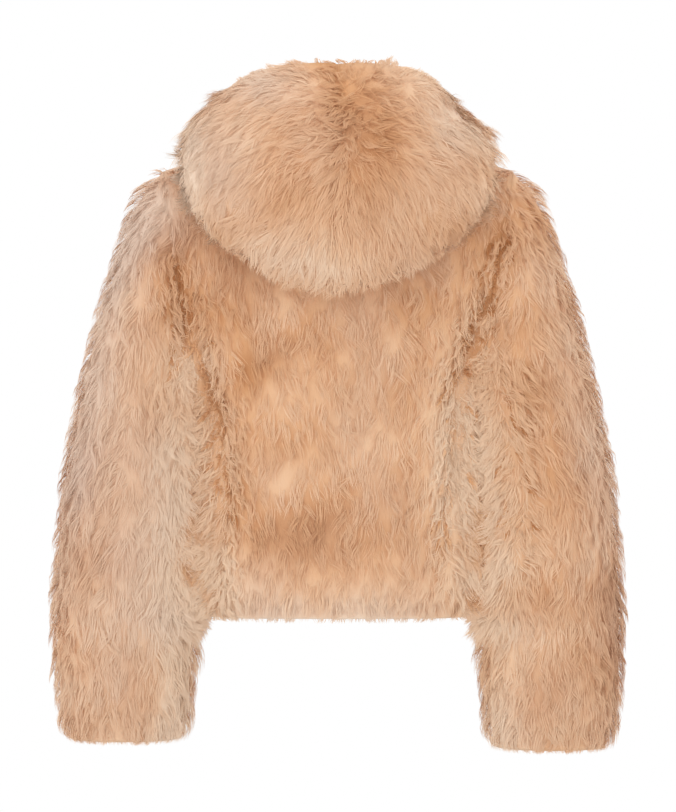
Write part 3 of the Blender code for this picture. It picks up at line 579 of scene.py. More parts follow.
def hood_walls(pull, drop):
    """Inner and outer points of a half of the hood, drawn on the left: columns from the centre
    seam to the throat, rows from the neckline to the rim. The rim is pulled in and drops."""
    skin_line, fur_line = neckline()
    along = np.linspace(0, 1, HOOD_ROWS + 1)
    columns = []
    for point in skin_line:
        off = point[:2] - np.array([0.0, HOOD_NECK_Y])
        radius = np.linalg.norm(off)
        degrees = math.degrees(math.atan2(off[0], off[1]))
        profile = hood_profile(degrees, (radius, point[2]))
        flare = ease(along, *HOOD_FLARES) * (1 - ease(degrees, *HOOD_FLARES_TO))
        settle = (ease(along, *HOOD_SETTLES) * (1 - flare)
                  * ease(degrees, *HOOD_SETTLES_FROM)
                  * (1 - ease(degrees, *HOOD_SETTLES_TO)))
        profile = profile - settle[:, None] * np.array([pull, drop])
        columns.append(np.stack([profile[:, 0] * off[0] / radius,
                                 HOOD_NECK_Y + profile[:, 0] * off[1] / radius,
                                 profile[:, 1]], axis=1))
    grid = np.array(columns).transpose(1, 0, 2)
    normals = normals_of(grid, -1)
    normals[:, 0, 0] = 0.0
    normals = unit(normals)
    depth = hood_pile(grid)[..., None]
    climb = norm(grid - grid[:1])[..., None]
    seam_share = bell(climb, NECK_SEAM_REACH)
    outer = grid + (1 - seam_share) * normals * depth + seam_share * (fur_line - skin_line)
    away = np.cross(np.gradient(skin_line, axis=0), fur_line - skin_line)
    for points in (grid, outer):
        points[0] += unit(away) * SEAM_GAP
        points[:, 0, 0] += SEAM_GAP / 2
    return grid, outer


# ---------------------------------------------------------------- pieces as fine surfaces

FINE = 6                   # fine steps to each step of a piece's grid
PELT_STEP = 3              # the pelt takes every third fine point
SEED = 20

HOOD_SIDE_RISE = 0.013      # the hood's underside curves up towards its sides
HOOD_SIDES_X = (0.045, 0.110)
HOOD_MIDDLE_DROP = 0.009    # and down in the middle
HOOD_MIDDLE_X = 0.006
HOOD_MIDDLE_REACH = 0.040
HOOD_HANG_DEPTHS = (0.010, 0.085)   # depths below the neck over which it does so
HOOD_HANG_Y = (0.075, 0.130)        # and how far behind the neck
MEETING_Y_BACK = 0.068      # fur tips of sleeve and body meet this far behind the side seams
MEETING_Y_FRONT = 0.050     # and this far in front of them
MEETING_SLOPE = 0.35        # from there they rise out of the crease this steeply
MEETING_FOOT = (-0.505, -0.478)     # heights over which they begin to meet, above the hem
MEETING_TOP = (-0.165, -0.115)      # and over which they part again, beside the armhole
MEETING_STARTS_Y = (0.010, 0.036)   # how far from the side seams they begin to rise
MEETING_ENDS_BESIDE = (0.030, 0.050)        # and how far from the plane between the two pieces
MEETING_DEPTH = 0.011       # the skin stays behind, so that the wall is this much deeper there
MEETING_SINKS = (0.0, 0.012)        # rises over which it gets that much deeper
MEETING_FELT = (0.0, 0.010)         # and over which the fur is ruffled
WAY_LEAN = 0.25             # how far the fur's way out leans as the wall does

Piece = namedtuple("Piece", "name kind inner outer closed side")
Cover = namedtuple("Cover", "skin tips way normal depth closed rows_way columns_way area meeting")


def fine_weights(count, steps, closed):
    """Weights that read a smooth line at fine steps between its points."""
    total = count * steps if closed else (count - 1) * steps + 1
    weights = np.zeros((total, count))
    for k in range(total):
        i, t = divmod(k, steps)
        t /= steps
        if i == count - 1 and not closed:
            i, t = count - 2, 1.0
        taps = (-0.5 * t + t * t - 0.5 * t**3, 1 - 2.5 * t * t + 1.5 * t**3,
                0.5 * t + 2 * t * t - 1.5 * t**3, -0.5 * t * t + 0.5 * t**3)
        for j, w in zip(range(i - 1, i + 3), taps):
            if closed:
                weights[k, j % count] += w
            elif j < 0:
                weights[k, 0] += 2 * w
                weights[k, 1] -= w
            elif j >= count:
                weights[k, count - 1] += 2 * w
                weights[k, count - 2] -= w
            else:
                weights[k, j] += w
    return weights


def finer(grid, closed):
    """The grid's smooth surface at fine steps."""
    rows = fine_weights(grid.shape[0], FINE, False)
    columns = fine_weights(grid.shape[1], FINE, closed)
    return np.einsum("ai,ijk,bj->abk", rows, grid, columns)


def slopes(grid, axis, closed):
    """How the grid runs along one axis, wrapped round where it is closed."""
    if closed and axis == 1:
        return (np.roll(grid, -1, axis=1) - np.roll(grid, 1, axis=1)) / 2
    return np.gradient(grid, axis=axis)


def meeting_fur(tips):
    """How far out the fur of sleeve and body stands where the two press on each other."""
    x, y, z = xyz(tips)
    left, right = (np.interp(-z, *np.abs(line)[:, ::-1].T) for line in (VALLEY_LEFT, VALLEY_RIGHT))
    middle = np.where(y > 0, np.where(x > 0, left, right), CONTACT_X)
    reach = (np.where(y > 0, MEETING_Y_BACK, MEETING_Y_FRONT)
             + MEETING_SLOPE * np.abs(np.abs(x) - middle))
    beside = 1 - ease(np.abs(np.abs(x) - CONTACT_X), *MEETING_ENDS_BESIDE)
    height = ease(z, *MEETING_FOOT) * (1 - ease(z, *MEETING_TOP))
    return np.maximum(reach - np.abs(y), 0) * ease(np.abs(y), *MEETING_STARTS_Y) * beside * height


def hood_hang(points):
    """How much higher than the plain wall the hood's underside hangs: lowest in the middle."""
    x, y, z = xyz(points)
    raised = HOOD_SIDE_RISE * ease(np.abs(x), *HOOD_SIDES_X)
    raised = raised - HOOD_MIDDLE_DROP * bell(x - HOOD_MIDDLE_X, HOOD_MIDDLE_REACH)
    return raised * ease(-z, *HOOD_HANG_DEPTHS) * ease(y, *HOOD_HANG_Y)


def cover_of(piece):
    """The fine skin and fur-tip surfaces of a piece, with what the strands need from them."""
    skin, tips = finer(piece.inner, piece.closed), finer(piece.outer, piece.closed)
    raised = np.zeros(tips.shape[:-1])
    if piece.kind == "hood":
        hang = hood_hang(tips)
        tips[..., 2] += hang
        skin[..., 2] += hang
    else:
        raised = meeting_fur(tips)
        facing = np.sign(tips[..., 1])
        sunk = MEETING_DEPTH * ease(raised, *MEETING_SINKS)
        tips[..., 1] += facing * raised
        skin[..., 1] += facing * (raised - sunk)
    rows_way, columns_way = slopes(tips, 0, piece.closed), slopes(tips, 1, piece.closed)
    normal = unit(np.cross(rows_way, columns_way))
    way = unit(tips - skin)
    if (normal * way).sum(axis=-1).mean() < 0:
        normal = -normal
    normal = unit(normal + WAY_LEAN * way)
    depth = norm(tips - skin)
    meeting = ease(raised, *MEETING_FELT)
    area = norm(np.cross(rows_way, columns_way))
    return Cover(skin, tips, way, normal, depth, piece.closed, rows_way, columns_way, area,
                 meeting)


def jacket_pieces():
    """The seven cut pieces, as grids of skin points and fur-tip points."""
    pieces = [Piece("back", "back", *map(whole, body_walls(is_back=True)), False, 0)]
    front = body_walls(is_back=False)
    for kind, left, right in (
            ("front", front, front),
            ("sleeve", sleeve_walls(LEFT_CUFF_LIFT), sleeve_walls(0.0)),
            ("hood", hood_walls(0.0, 0.0), hood_walls(HOOD_RIGHT_PULL, HOOD_RIGHT_DROP))):
        closed = kind == "sleeve"
        pieces += [Piece(kind + "_left", kind, *left, closed, 1),
                   Piece(kind + "_right", kind, *map(mirrored, right), closed, -1)]
    return pieces


def edge_z(piece):
    """Height of a piece's free lower edge. The hood has none."""
    if piece.kind == "sleeve":
        return CUFF_Z + LEFT_CUFF_LIFT if piece.side > 0 else CUFF_Z
    return -1.0 if piece.kind == "hood" else HEM_Z


# ---------------------------------------------------------------- unevenness

def at_back(points):
    """1 on the back side of the jacket and 0 on its front side."""
    return ease(points[..., 1], 0.0, 0.03)


WAVES = 7                  # waves that make up a random field
WAVES_LEVEL = 2.6          # and what brings their sum to about 1


def wander(points, size, seed):
    """A smooth random field from about -1 to 1 that changes over the given size in metres."""
    dice = np.random.default_rng(seed)
    total = np.zeros(points.shape[:-1])
    for _ in range(WAVES):
        wave = dice.normal(size=3)
        wave *= dice.uniform(0.6, 1.5) * 2 * math.pi / size / np.linalg.norm(wave)
        total += np.sin(points @ wave + dice.uniform(0, 2 * math.pi))
    return total / WAVES_LEVEL


def near_contact(cover, width):
    """How near each point is to the plane in which sleeve and body meet."""
    return bell(np.abs(cover.tips[..., 0]) - CONTACT_X, width)


def sway_of(points, size, *seeds):
    """A smooth random way, with a field of its own for each direction."""
    return np.stack([wander(points, size, seed) for seed in seeds], axis=-1)


def bump_at(points, places):
    """Sum of soft patches on the wearer's back side, each with a place, two radii and a size."""
    x, z = points[..., 0], points[..., 2]
    behind = ease(points[..., 1], -0.02, 0.04)
    total = np.zeros(points.shape[:-1])
    for p in places:
        turn = math.radians(p.turn)
        u = (x - p.x) * math.cos(turn) + (z - p.z) * math.sin(turn)
        v = -(x - p.x) * math.sin(turn) + (z - p.z) * math.cos(turn)
        total += p.size * np.exp(-(u / p.wide) ** 2 - (v / p.tall) ** 2)
    return total * behind


# ---------------------------------------------------------------- how the fur lies

# Creases on the back: lines of (x, z). The fur parts at them and flows away on both sides.
CREASE_LEFT = line_of(
    1685, -1250, 1634, -1610, 1542, -2020, 1470, -2160, 1410, -2400, 1340, -2680, 1285, -2840,
    1250, -3100, 1215, -3350, 1180, -3520, 1235, -3800, 1310, -4300, 1340, -4790)
CREASE_RIGHT = line_of(
    -1777, -934, -1685, -1138, -1634, -1383, -1603, -1526, -1521, -1679, -1460, -1863,
    -1430, -2067, -1384, -2190, -1338, -2312, -1272, -2527, -1287, -2792, -1266, -3068,
    -1276, -3293, -1205, -3548, -1184, -3844, -1205, -4109)
# The lowest lines of the valleys between the back and the two sleeves.
VALLEY_LEFT = line_of(
    1685, -1250, 1634, -1610, 1542, -2020, 1460, -2370, 1409, -2630, 1378, -3040, 1450, -3340,
    1460, -4360, 1340, -4790)
VALLEY_RIGHT = line_of(
    -1654, -1220, -1552, -1500, -1450, -1710, -1348, -2020, -1266, -2270, -1246, -2630,
    -1266, -3140, -1195, -3450, -1266, -3960, -1290, -4300)
# Partings on the back of the sleeves.
PARTING_RIGHT_SLEEVE = line_of(-1620, -2550, -1695, -2980, -1858, -3690, -1840, -4000)
PARTING_LEFT_SLEEVE = line_of(2100, -2700, 2080, -3200, 2150, -3750)
# How widely the fur flows away from each of these lines, how far off and how curly it is.
Crease = namedtuple("Crease", "line spread reach curl")
CREASES = [
    Crease(CREASE_LEFT, 0.85, 0.030, 1.0),
    Crease(CREASE_RIGHT, 0.85, 0.030, 1.0),
    Crease(PARTING_RIGHT_SLEEVE, 1.00, 0.036, 0.35),
    Crease(PARTING_LEFT_SLEEVE, 0.55, 0.034, 0.25),
]
# The valleys between the sleeves and the back, where soft painted shade deepens the fur's tone.
SHADED = [
    line_of(1505, -3007, 1430, -3217, 1445, -3425, 1490, -3936, 1520, -4328, 1360, -4750),
    line_of(-1330, -3000, -1430, -3200, -1480, -4000, -1460, -4700),
]
HOOD_CROWN = line_of(-180, 700, -190, 120)      # the parting at the top of the hood
# A slot of painted shade down the hood, with its strength.
HOOD_SLOTS = [(line_of(-215, 880, -245, 550, -286, 310, -390, 50), 0.40)]
SLOT_WIDTH = 0.0022        # half width of a slot of painted shade where the fur parts along a line
SLIT_WIDTH = 0.0015        # and of a short slit of painted shade between two locks
SLOT_BEND = 0.0016         # how far they wander off their lines
SLOT_LEFT = CREASE_LEFT[:11]
SLOTS = [                  # each with its strength
    (SLOT_LEFT, 1.3),
    (CREASE_RIGHT, 1.25),
    (PARTING_RIGHT_SLEEVE, 0.42),
    (line_of(1250, -2880, 1270, -3030), 0.8),
    (line_of(-1130, -3080, -1190, -3260), 0.8),
]

# Tones: above 0 is paler and below is deeper. Blush above 0 is pinker and greyer. The patches
# below hold both the fur's own uneven colour and painted light and shade.
Patch = namedtuple("Patch", "x z wide tall turn size")


def patches(*rows):
    """Places and reaches in millimetres, turns in degrees and sizes in hundredths."""
    return rows_of(Patch, (MM, MM, MM, MM, 1, 100), *rows)


# Painted shade: the hood's shadow on the back below its edge, and deeper tone down the right
# sleeve's outer side. Painted light: paler tone on both sides of the creases between the sleeves
# and the back, on the left cuff's inner side and along the hem. The others deepen or pale the tone
# in patches.
TONE_AND_PAINTED_LIGHT_PATCHES = patches(
    (5, -392, 120, 26, -4, -26), (10, -466, 170, 20, 0, 26), (-10, -494, 170, 12, 0, 70),
    (118, -435, 18, 60, 0, 34), (-112, -350, 30, 55, 0, 34), (-190, -365, 35, 30, 0, 20),
    (145, -125, 45, 45, 0, -22), (85, -205, 35, 35, 0, -14), (-170, -215, 20, 50, 0, -14),
    (105, -215, 50, 40, 20, -10), (-70, -150, 70, 30, -15, -8), (110, -95, 50, 20, 20, -26),
    (0, -250, 60, 90, 0, 2), (235, -200, 30, 90, 10, 10), (260, -470, 30, 90, 0, 8),
    (-235, -290, 35, 80, -10, -12), (-260, -520, 30, 60, 0, -14), (165, -330, 30, 180, 0, 26),
    (158, -610, 24, 120, 0, 80), (-158, -640, 22, 80, 0, 30), (185, -90, 35, 30, 30, -20),
    (-175, -85, 45, 35, -30, -24), (-300, -480, 22, 110, 0, -34), (-105, -245, 35, 28, 0, 22),
    (128, -245, 28, 40, 0, 14), (202, -430, 30, 40, 0, 18), (243, -390, 30, 50, 0, -22),
    (285, -320, 22, 70, 0, -20), (225, -300, 40, 200, 0, -6), (-206, -570, 30, 40, 0, -14),
    (-200, -50, 30, 30, -30, -6), (-135, -330, 35, 160, 0, 26), (-165, -600, 25, 120, 0, 16),
    (165, -390, 30, 90, 0, 24), (-132, -330, 18, 65, 0, 34), (-160, -420, 20, 60, 0, 14),
    (60, -150, 35, 30, 0, -14))
# Painted light: paler tone along the hood's top edge and its sides. The others deepen or pale the
# tone in patches.
HOOD_TONE_AND_PAINTED_LIGHT_PATCHES = patches(
    (100, 0, 45, 50, 0, 16), (30, -115, 60, 26, 10, 40), (-30, 0, 30, 50, 10, -30),
    (-26, 50, 6, 34, 8, -16), (-20, 50, 60, 34, 0, -22), (35, -5, 30, 30, 0, -16),
    (-120, -75, 30, 30, -30, -16), (-90, -40, 40, 40, 0, 2), (-112, 42, 36, 30, 0, 32),
    (70, 74, 70, 22, 20, 30), (-80, 70, 50, 20, -25, 32), (160, 4, 20, 30, 0, 40))
# Painted shade: a pinker, greyer tone down the outer sides of both sleeves, where they round away.
# The others tint the fur in patches, one of them less pink.
BLUSH_AND_PAINTED_LIGHT_PATCHES = patches(
    (275, -300, 30, 200, 8, 50), (-290, -450, 30, 150, 0, 22), (225, -370, 50, 330, 0, 45),
    (205, -65, 45, 40, 25, 60), (235, -120, 30, 60, 30, 45), (30, -480, 170, 20, 0, 55),
    (-210, -580, 60, 90, 0, 14), (-255, -270, 30, 110, -10, 30), (-155, -320, 50, 130, 0, -55))
# Painted light: a pinker, greyer tone along the hood's top edge. The others tint the hood in
# patches, one of them less pink.
HOOD_BLUSH_AND_PAINTED_LIGHT_PATCHES = patches(
    (130, -10, 50, 60, 0, 65), (55, -100, 50, 30, 20, 12), (85, 70, 60, 20, 15, 55),
    (-10, 45, 30, 30, 0, -20), (-110, 40, 35, 50, 0, 35))


def nearest_on_line(flat, line):
    """Distance from each point to a line of (x, z) points, and the offset from it."""
    best = np.full(flat.shape[:-1], np.inf)
    offset = np.zeros_like(flat)
    for start, end in zip(np.array(line[:-1]), np.array(line[1:])):
        run = end - start
        t = np.clip(((flat - start) @ run) / (run @ run), 0, 1)
        off = flat - (start + t[..., None] * run)
        length = norm(off)
        closer = length < best
        best = np.where(closer, length, best)
        offset = np.where(closer[..., None], off, offset)
    return best, offset


CREASE_CLOSES_Z = (-0.235, -0.195)  # heights over which the fur begins to close over a crease
CREASE_MIDDLE = 0.004      # the fur begins to flow away this far from a crease
CURL_REACH = 0.8           # how far the curls reach, as a share of the crease's reach


def crease_pull(points):
    """Sideways flow at the creases, and how much the fur curls there."""
    behind = at_back(points)
    high = ease(points[..., 2], *CREASE_CLOSES_Z)
    push = np.zeros(points.shape)
    curl = np.zeros(points.shape[:-1])
    for c in CREASES:
        away, offset = nearest_on_line(points[..., [0, 2]], c.line)
        felt = behind * bell(away, c.reach) * ease(away, 0.0, CREASE_MIDDLE)
        side = np.sign(offset[..., 0])
        closing = np.where(side * np.sign(points[..., 0]) > 0, 1 - 1.9 * high, 1 - 0.5 * high)
        push[..., 0] += c.spread * felt * side * closing
        curl = np.maximum(curl, c.curl * behind * bell(away, CURL_REACH * c.reach))
    return push, curl


SLIT_SPACING = 0.009       # one slit to each such stretch of a crease
SLIT_OFFSETS = (0.004, 0.017)       # how far beside the crease the slits begin
SLIT_LENGTHS = (0.005, 0.012)
SLIT_SLOPES = (0.5, 1.0)   # metres sideways to each metre down
SLIT_STRENGTHS = (0.60, 0.95)
SLIT_LOW_Z = -0.20         # below this they keep clear of the plane between sleeve and body
SLIT_CLEARANCE = 0.008
SLIT_SHIFT = 0.014         # and move this much inward where they don't
SLIT_TURNS_Z = -0.215      # above this those on the sleeve's side slope to the crease


def slits_beside(line, side, seed):
    """Short slits of painted shade between the locks beside a crease, along the fur's way there.
    """
    dice = np.random.default_rng(seed)
    found = []
    for (x0, z0), (x1, z1) in zip(line[:-1], line[1:]):
        count = max(1, round(math.hypot(x1 - x0, z1 - z0) / SLIT_SPACING))
        for k in range(count):
            t = (k + dice.random()) / count
            way = dice.choice((-1.0, 1.0))
            off = way * dice.uniform(*SLIT_OFFSETS)
            x, z = x0 + (x1 - x0) * t + off, z0 + (z1 - z0) * t
            if z < SLIT_LOW_Z and abs(abs(x) - CONTACT_X) < SLIT_CLEARANCE:
                x += math.copysign(SLIT_SHIFT, -x)
            toward = -1.0 if z > SLIT_TURNS_Z and way * side > 0 else 0.6
            length = dice.uniform(*SLIT_LENGTHS)
            lean = toward * way * dice.uniform(*SLIT_SLOPES)
            found.append(([(x, z), (x + length * lean, z - length)],
                          dice.uniform(*SLIT_STRENGTHS)))
    return found


ALL_SLOTS = (SLOTS + slits_beside(SLOT_LEFT, 1, 41) + slits_beside(CREASE_RIGHT, -1, 42)
             + slits_beside(PARTING_RIGHT_SLEEVE, -1, 43))


def slot_at(points, on_hood):
    """How deep each point is in a slot of painted shade where the fur parts along a crease."""
    found = np.zeros(points.shape[:-1])
    bent = points[..., [0, 2]] + SLOT_BEND * sway_of(points, 0.012, 31, 32)
    for line, strength in HOOD_SLOTS if on_hood else ALL_SLOTS:
        away, _ = nearest_on_line(bent, line)
        long = len(line) > 2
        broken = ease(wander(points, 0.034, 33), -1.1, -0.3) if long else 1.0
        wide = SLOT_WIDTH if long else SLIT_WIDTH
        found = np.maximum(found, strength * bell(away, wide) * broken)
    return found * at_back(points)


VALLEY_WIDTH = 0.013
VALLEY_FOOT = (-0.500, -0.470)      # heights over which the valley begins, above the hem
VALLEY_TOP = (-0.185, -0.130)       # and over which it ends


def valley_at(points):
    """How near each point is to the valley between a sleeve and the back."""
    x, y, z = xyz(points)
    side = bell(np.abs(x) - CONTACT_X, VALLEY_WIDTH)
    height = ease(z, *VALLEY_FOOT) * (1 - ease(z, *VALLEY_TOP))
    return 0.6 * side * height * ease(np.abs(y), 0.005, 0.030)


MEETING_TURN = 2.5         # how far the way out turns where two pieces meet
SWAY_SIZE = 0.090          # over how many metres the flow sways widely,
FINE_SWAY_SIZE = 0.030     # finely
TUFT_SIZE = 0.013          # and from tuft to tuft


def bent_out(normal, meeting, points):
    """The way out of the fur, turned to the back or the front where two pieces meet."""
    bent = normal.copy()
    bent[..., 1] += MEETING_TURN * meeting * np.sign(points[..., 1])
    return unit(bent)


def hood_lie(cover, down, sway, fine_sway, tuft_sway):
    """How the hood's fur lies: out from the parting at its top, and out over its edges."""
    p = cover.tips
    away, offset = nearest_on_line(p[..., [0, 2]], HOOD_CROWN)
    spread = np.stack([offset[..., 0], np.zeros(away.shape), offset[..., 1]], axis=-1)
    spread = unit(spread) * ease(away, 0.0, 0.020)[..., None]
    behind = ease(p[..., 1], 0.03, 0.09)
    flow = behind[..., None] * (1.25 * spread + 0.55 * down) + (1 - behind[..., None]) * (
        0.9 * down + 0.6 * unit(p * (1.0, 1.0, 0.0)))
    low = 1 - ease(p[..., 2], 0.040, 0.065)
    wild = 0.34 + 0.75 * bell(away, 0.032) * low
    flow = flow + 0.30 * sway + wild[..., None] * fine_sway + 0.34 * tuft_sway
    along = np.linspace(0, 1, p.shape[0])[:, None, None]
    across = np.linspace(0, 1, p.shape[1])[None, :, None]
    flow = flow + 0.9 * ease(along, 0.90, 1.0) * unit(cover.rows_way)
    flow = flow + 0.9 * ease(across, 0.93, 1.0) * unit(cover.columns_way)
    return flow, 0.75 * bell(away, 0.045) * behind, 0.35 * bell(away, 0.026) * behind * low


def hanging_lie(piece, cover, down, sway, fine_sway, tuft_sway):
    """How the fur of sleeves and body lies: down, away from the creases and over each other."""
    p = cover.tips
    push, curl = crease_pull(p)
    push = push + 0.20 * tuft_sway
    if piece.kind == "sleeve":
        flow = unit(slopes(p, 0, True)) + 0.45 * down + 0.22 * sway + 0.30 * fine_sway + push
    else:
        flow = down + 0.16 * sway + 0.24 * fine_sway + push
    touching = near_contact(cover, 0.012) * cover.meeting
    over = -np.sign(p[..., 0]) if piece.kind == "sleeve" else np.sign(p[..., 0])
    flow[..., 0] += touching * (1.1 * over + 0.8 * wander(p, 0.016, 14))
    return flow, curl, valley_at(p)


Lie = namedtuple("Lie", "flow curl valley")


def lie_of(piece, cover):
    """The way the fur lies at each fine point, how curly it is, and how far it is raised."""
    p, normal = cover.tips, cover.normal
    down = np.zeros(p.shape)
    down[..., 2] = -1.0
    ways = (down, sway_of(p, SWAY_SIZE, 3, 4, 4) * (1.0, 1.0, 0.0),
            sway_of(p, FINE_SWAY_SIZE, 5, 6, 7) * (1.0, 1.0, 0.5),
            sway_of(p, TUFT_SIZE, 15, 16, 17))
    if piece.kind == "hood":
        flow, curl, valley = hood_lie(cover, *ways)
    else:
        flow, curl, valley = hanging_lie(piece, cover, *ways)
        normal = bent_out(normal, cover.meeting, p)
    flow -= (flow * normal).sum(axis=-1, keepdims=True) * normal
    return Lie(unit(flow), np.clip(curl + 0.16 + 0.10 * wander(p, 0.06, 8), 0, 1), valley)


VALLEY_SHADE = 0.34        # painted shade: how much deeper the tone is along the lines in SHADED
VALLEY_DARKENS_Z = (-0.390, -0.350)         # and twice that below these heights
VALLEY_SHADE_WIDTH = 0.0045


def tone_of(piece, cover):
    """How pale and how pink the fur is at each fine point, painted light and shade included."""
    p = cover.tips
    hood = piece.kind == "hood"
    tone = 0.09 * wander(p, 0.110, 9) + 0.05 * wander(p, 0.040, 10)
    tone = tone + bump_at(p, HOOD_TONE_AND_PAINTED_LIGHT_PATCHES if hood else TONE_AND_PAINTED_LIGHT_PATCHES)
    blush = 0.10 + 0.10 * wander(p, 0.12, 11)
    blush = blush + bump_at(p, HOOD_BLUSH_AND_PAINTED_LIGHT_PATCHES if hood else BLUSH_AND_PAINTED_LIGHT_PATCHES)
    if hood:
        # Painted light: paler tone on the hood's sides, more on its left.
        tone = tone + np.where(p[..., 0] > 0, 0.34, 0.10) * ease(
            np.abs(p[..., 0]), 0.125, 0.158)
    else:
        _, curl = crease_pull(p)
        tone = tone + 0.08 * curl
        blush = blush * (1 - 0.8 * curl)
        # Painted shade along the valleys in SHADED, twice as deep low down.
        deep = VALLEY_SHADE * (1 + (1 - ease(p[..., 2], *VALLEY_DARKENS_Z)))
        for line in SHADED:
            away, _ = nearest_on_line(p[..., [0, 2]], line)
            felt = bell(away, VALLEY_SHADE_WIDTH) * ease(wander(p, 0.05, 18), -1.2, 0.2)
            tone = tone - deep * felt * at_back(p)
    if piece.kind == "back":
        tone = tone - 0.03
    return tone, np.clip(blush, 0, 1)


# ---------------------------------------------------------------- meshes

def read_at(field, u, v, closed):
    """A fine field read between its points, at row u and column v."""
    rows, columns = field.shape[:2]
    u = np.clip(u, 0, rows - 1.001)
    i = u.astype(int)
    if closed:
        j0 = np.floor(v).astype(int)
        s = v - j0
        j, k = j0 % columns, (j0 + 1) % columns
    else:
        v = np.clip(v, 0, columns - 1.001)
        j = v.astype(int)
        s = v - j
        k = j + 1
    t = u - i
    if field.ndim == 3:
        s, t = s[:, None], t[:, None]
    return ((1 - t) * ((1 - s) * field[i, j] + s * field[i, k])
            + t * ((1 - s) * field[i + 1, j] + s * field[i + 1, k]))


def mesh_from(name, points, corners, sizes):
    """A mesh from points and faces given as one run of corners and the size of each face."""
    data = bpy.data.meshes.new(name)
    data.vertices.add(len(points))
    data.vertices.foreach_set("co", np.ascontiguousarray(points, np.float32).ravel())
    data.loops.add(len(corners))
    data.loops.foreach_set("vertex_index", np.ascontiguousarray(corners, np.int32))
    data.polygons.add(len(sizes))
    starts = np.concatenate([[0], np.cumsum(sizes)[:-1]]).astype(np.int32)
    data.polygons.foreach_set("loop_start", starts)
    data.update(calc_edges=True)
    data.shade_smooth()
    return data


def add_values(data, name, values):
    """A number for each point of the mesh, which its material reads."""
    layer = data.attributes.new(name, "FLOAT", "POINT")
    layer.data.foreach_set("value", np.ascontiguousarray(values, np.float32))


def placed(data):
    """An object of the scene, from its data and named as they are."""
    made = bpy.data.objects.new(data.name, data)
    bpy.context.scene.collection.objects.link(made)
    return made


def add_piece(data):
    """A piece of the scene that rides with the jacket."""
    made = placed(data)
    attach(made, "root")
    return made


# ---------------------------------------------------------------- the pelts

PELT_SHARE = 0.56          # how much of the wall's depth the dense underfur fills
PRESSED_DEPTHS = (0.008, 0.017)     # depths of a wall that is pressed, and that is free
PRESSED_SHARE = 0.90       # what it fills of a pressed wall
LEAST_PELT = 0.0022        # thinnest pelt
EDGE_THINNING = 0.22       # how much less it fills at a free edge
EDGE_THINNING_SPAN = (0.004, 0.028)
TROUGH = 0.24              # and along a crease beside the back
TROUGH_REACH = 0.010
HOOD_SEAM_TROUGH = 0.30    # and along the hood's centre seam
HOOD_SEAM_REACH = 0.008
EDGE_DRAW = 0.0012         # the pelt ends this much short of the fur's free edges
SEAM_LAP = 0.0008          # pieces close up over the seam gap


def open_front(piece, cover):
    """Where the hood and the fronts are thin but nothing hides them."""
    if piece.kind == "hood":
        return 1 - ease(cover.tips[..., 1], 0.0, 0.045)
    if piece.kind == "front":
        return ease(cover.tips[..., 2], -0.100, -0.060) * (1 - cover.meeting)
    return np.zeros(cover.depth.shape)


def parted_at(points, reach):
    """How near each point is to the creases beside the back, where the fur parts."""
    flat = points[..., [0, 2]]
    away = np.minimum(nearest_on_line(flat, CREASE_LEFT)[0],
                      nearest_on_line(flat, CREASE_RIGHT)[0])
    return bell(away, reach) * at_back(points)


def pelt_share(piece, cover):
    """How much of the wall's depth the underfur fills at each fine point."""
    pressed = 1 - ease(cover.depth, *PRESSED_DEPTHS)
    pressed = pressed * (1 - 0.9 * open_front(piece, cover))
    touching = near_contact(cover, 0.007)
    pressed = np.maximum(pressed, cover.meeting * (0.45 + 0.75 * touching))
    thin = PELT_SHARE - 0.14 * (1 - np.clip(1.4 * cover.normal[..., 1], 0, 1))
    share = thin + (PRESSED_SHARE - thin) * pressed
    low = cover.tips[..., 2] - edge_z(piece)
    if piece.kind == "hood":
        low = np.linspace(0.5, 0.0, share.shape[0])[:, None]
    share = share - EDGE_THINNING * (1 - ease(low, *EDGE_THINNING_SPAN)) * (1 - pressed)
    if piece.kind == "hood":
        return share - HOOD_SEAM_TROUGH * bell(cover.skin[..., 0], HOOD_SEAM_REACH)
    trough = parted_at(cover.tips, TROUGH_REACH)
    return share - TROUGH * trough * (1 - touching * cover.meeting)


def picked(count, closed):
    """Every third fine point, and the last one where the line is open."""
    found = np.arange(0, count, PELT_STEP)
    return found if closed or found[-1] == count - 1 else np.append(found, count - 1)


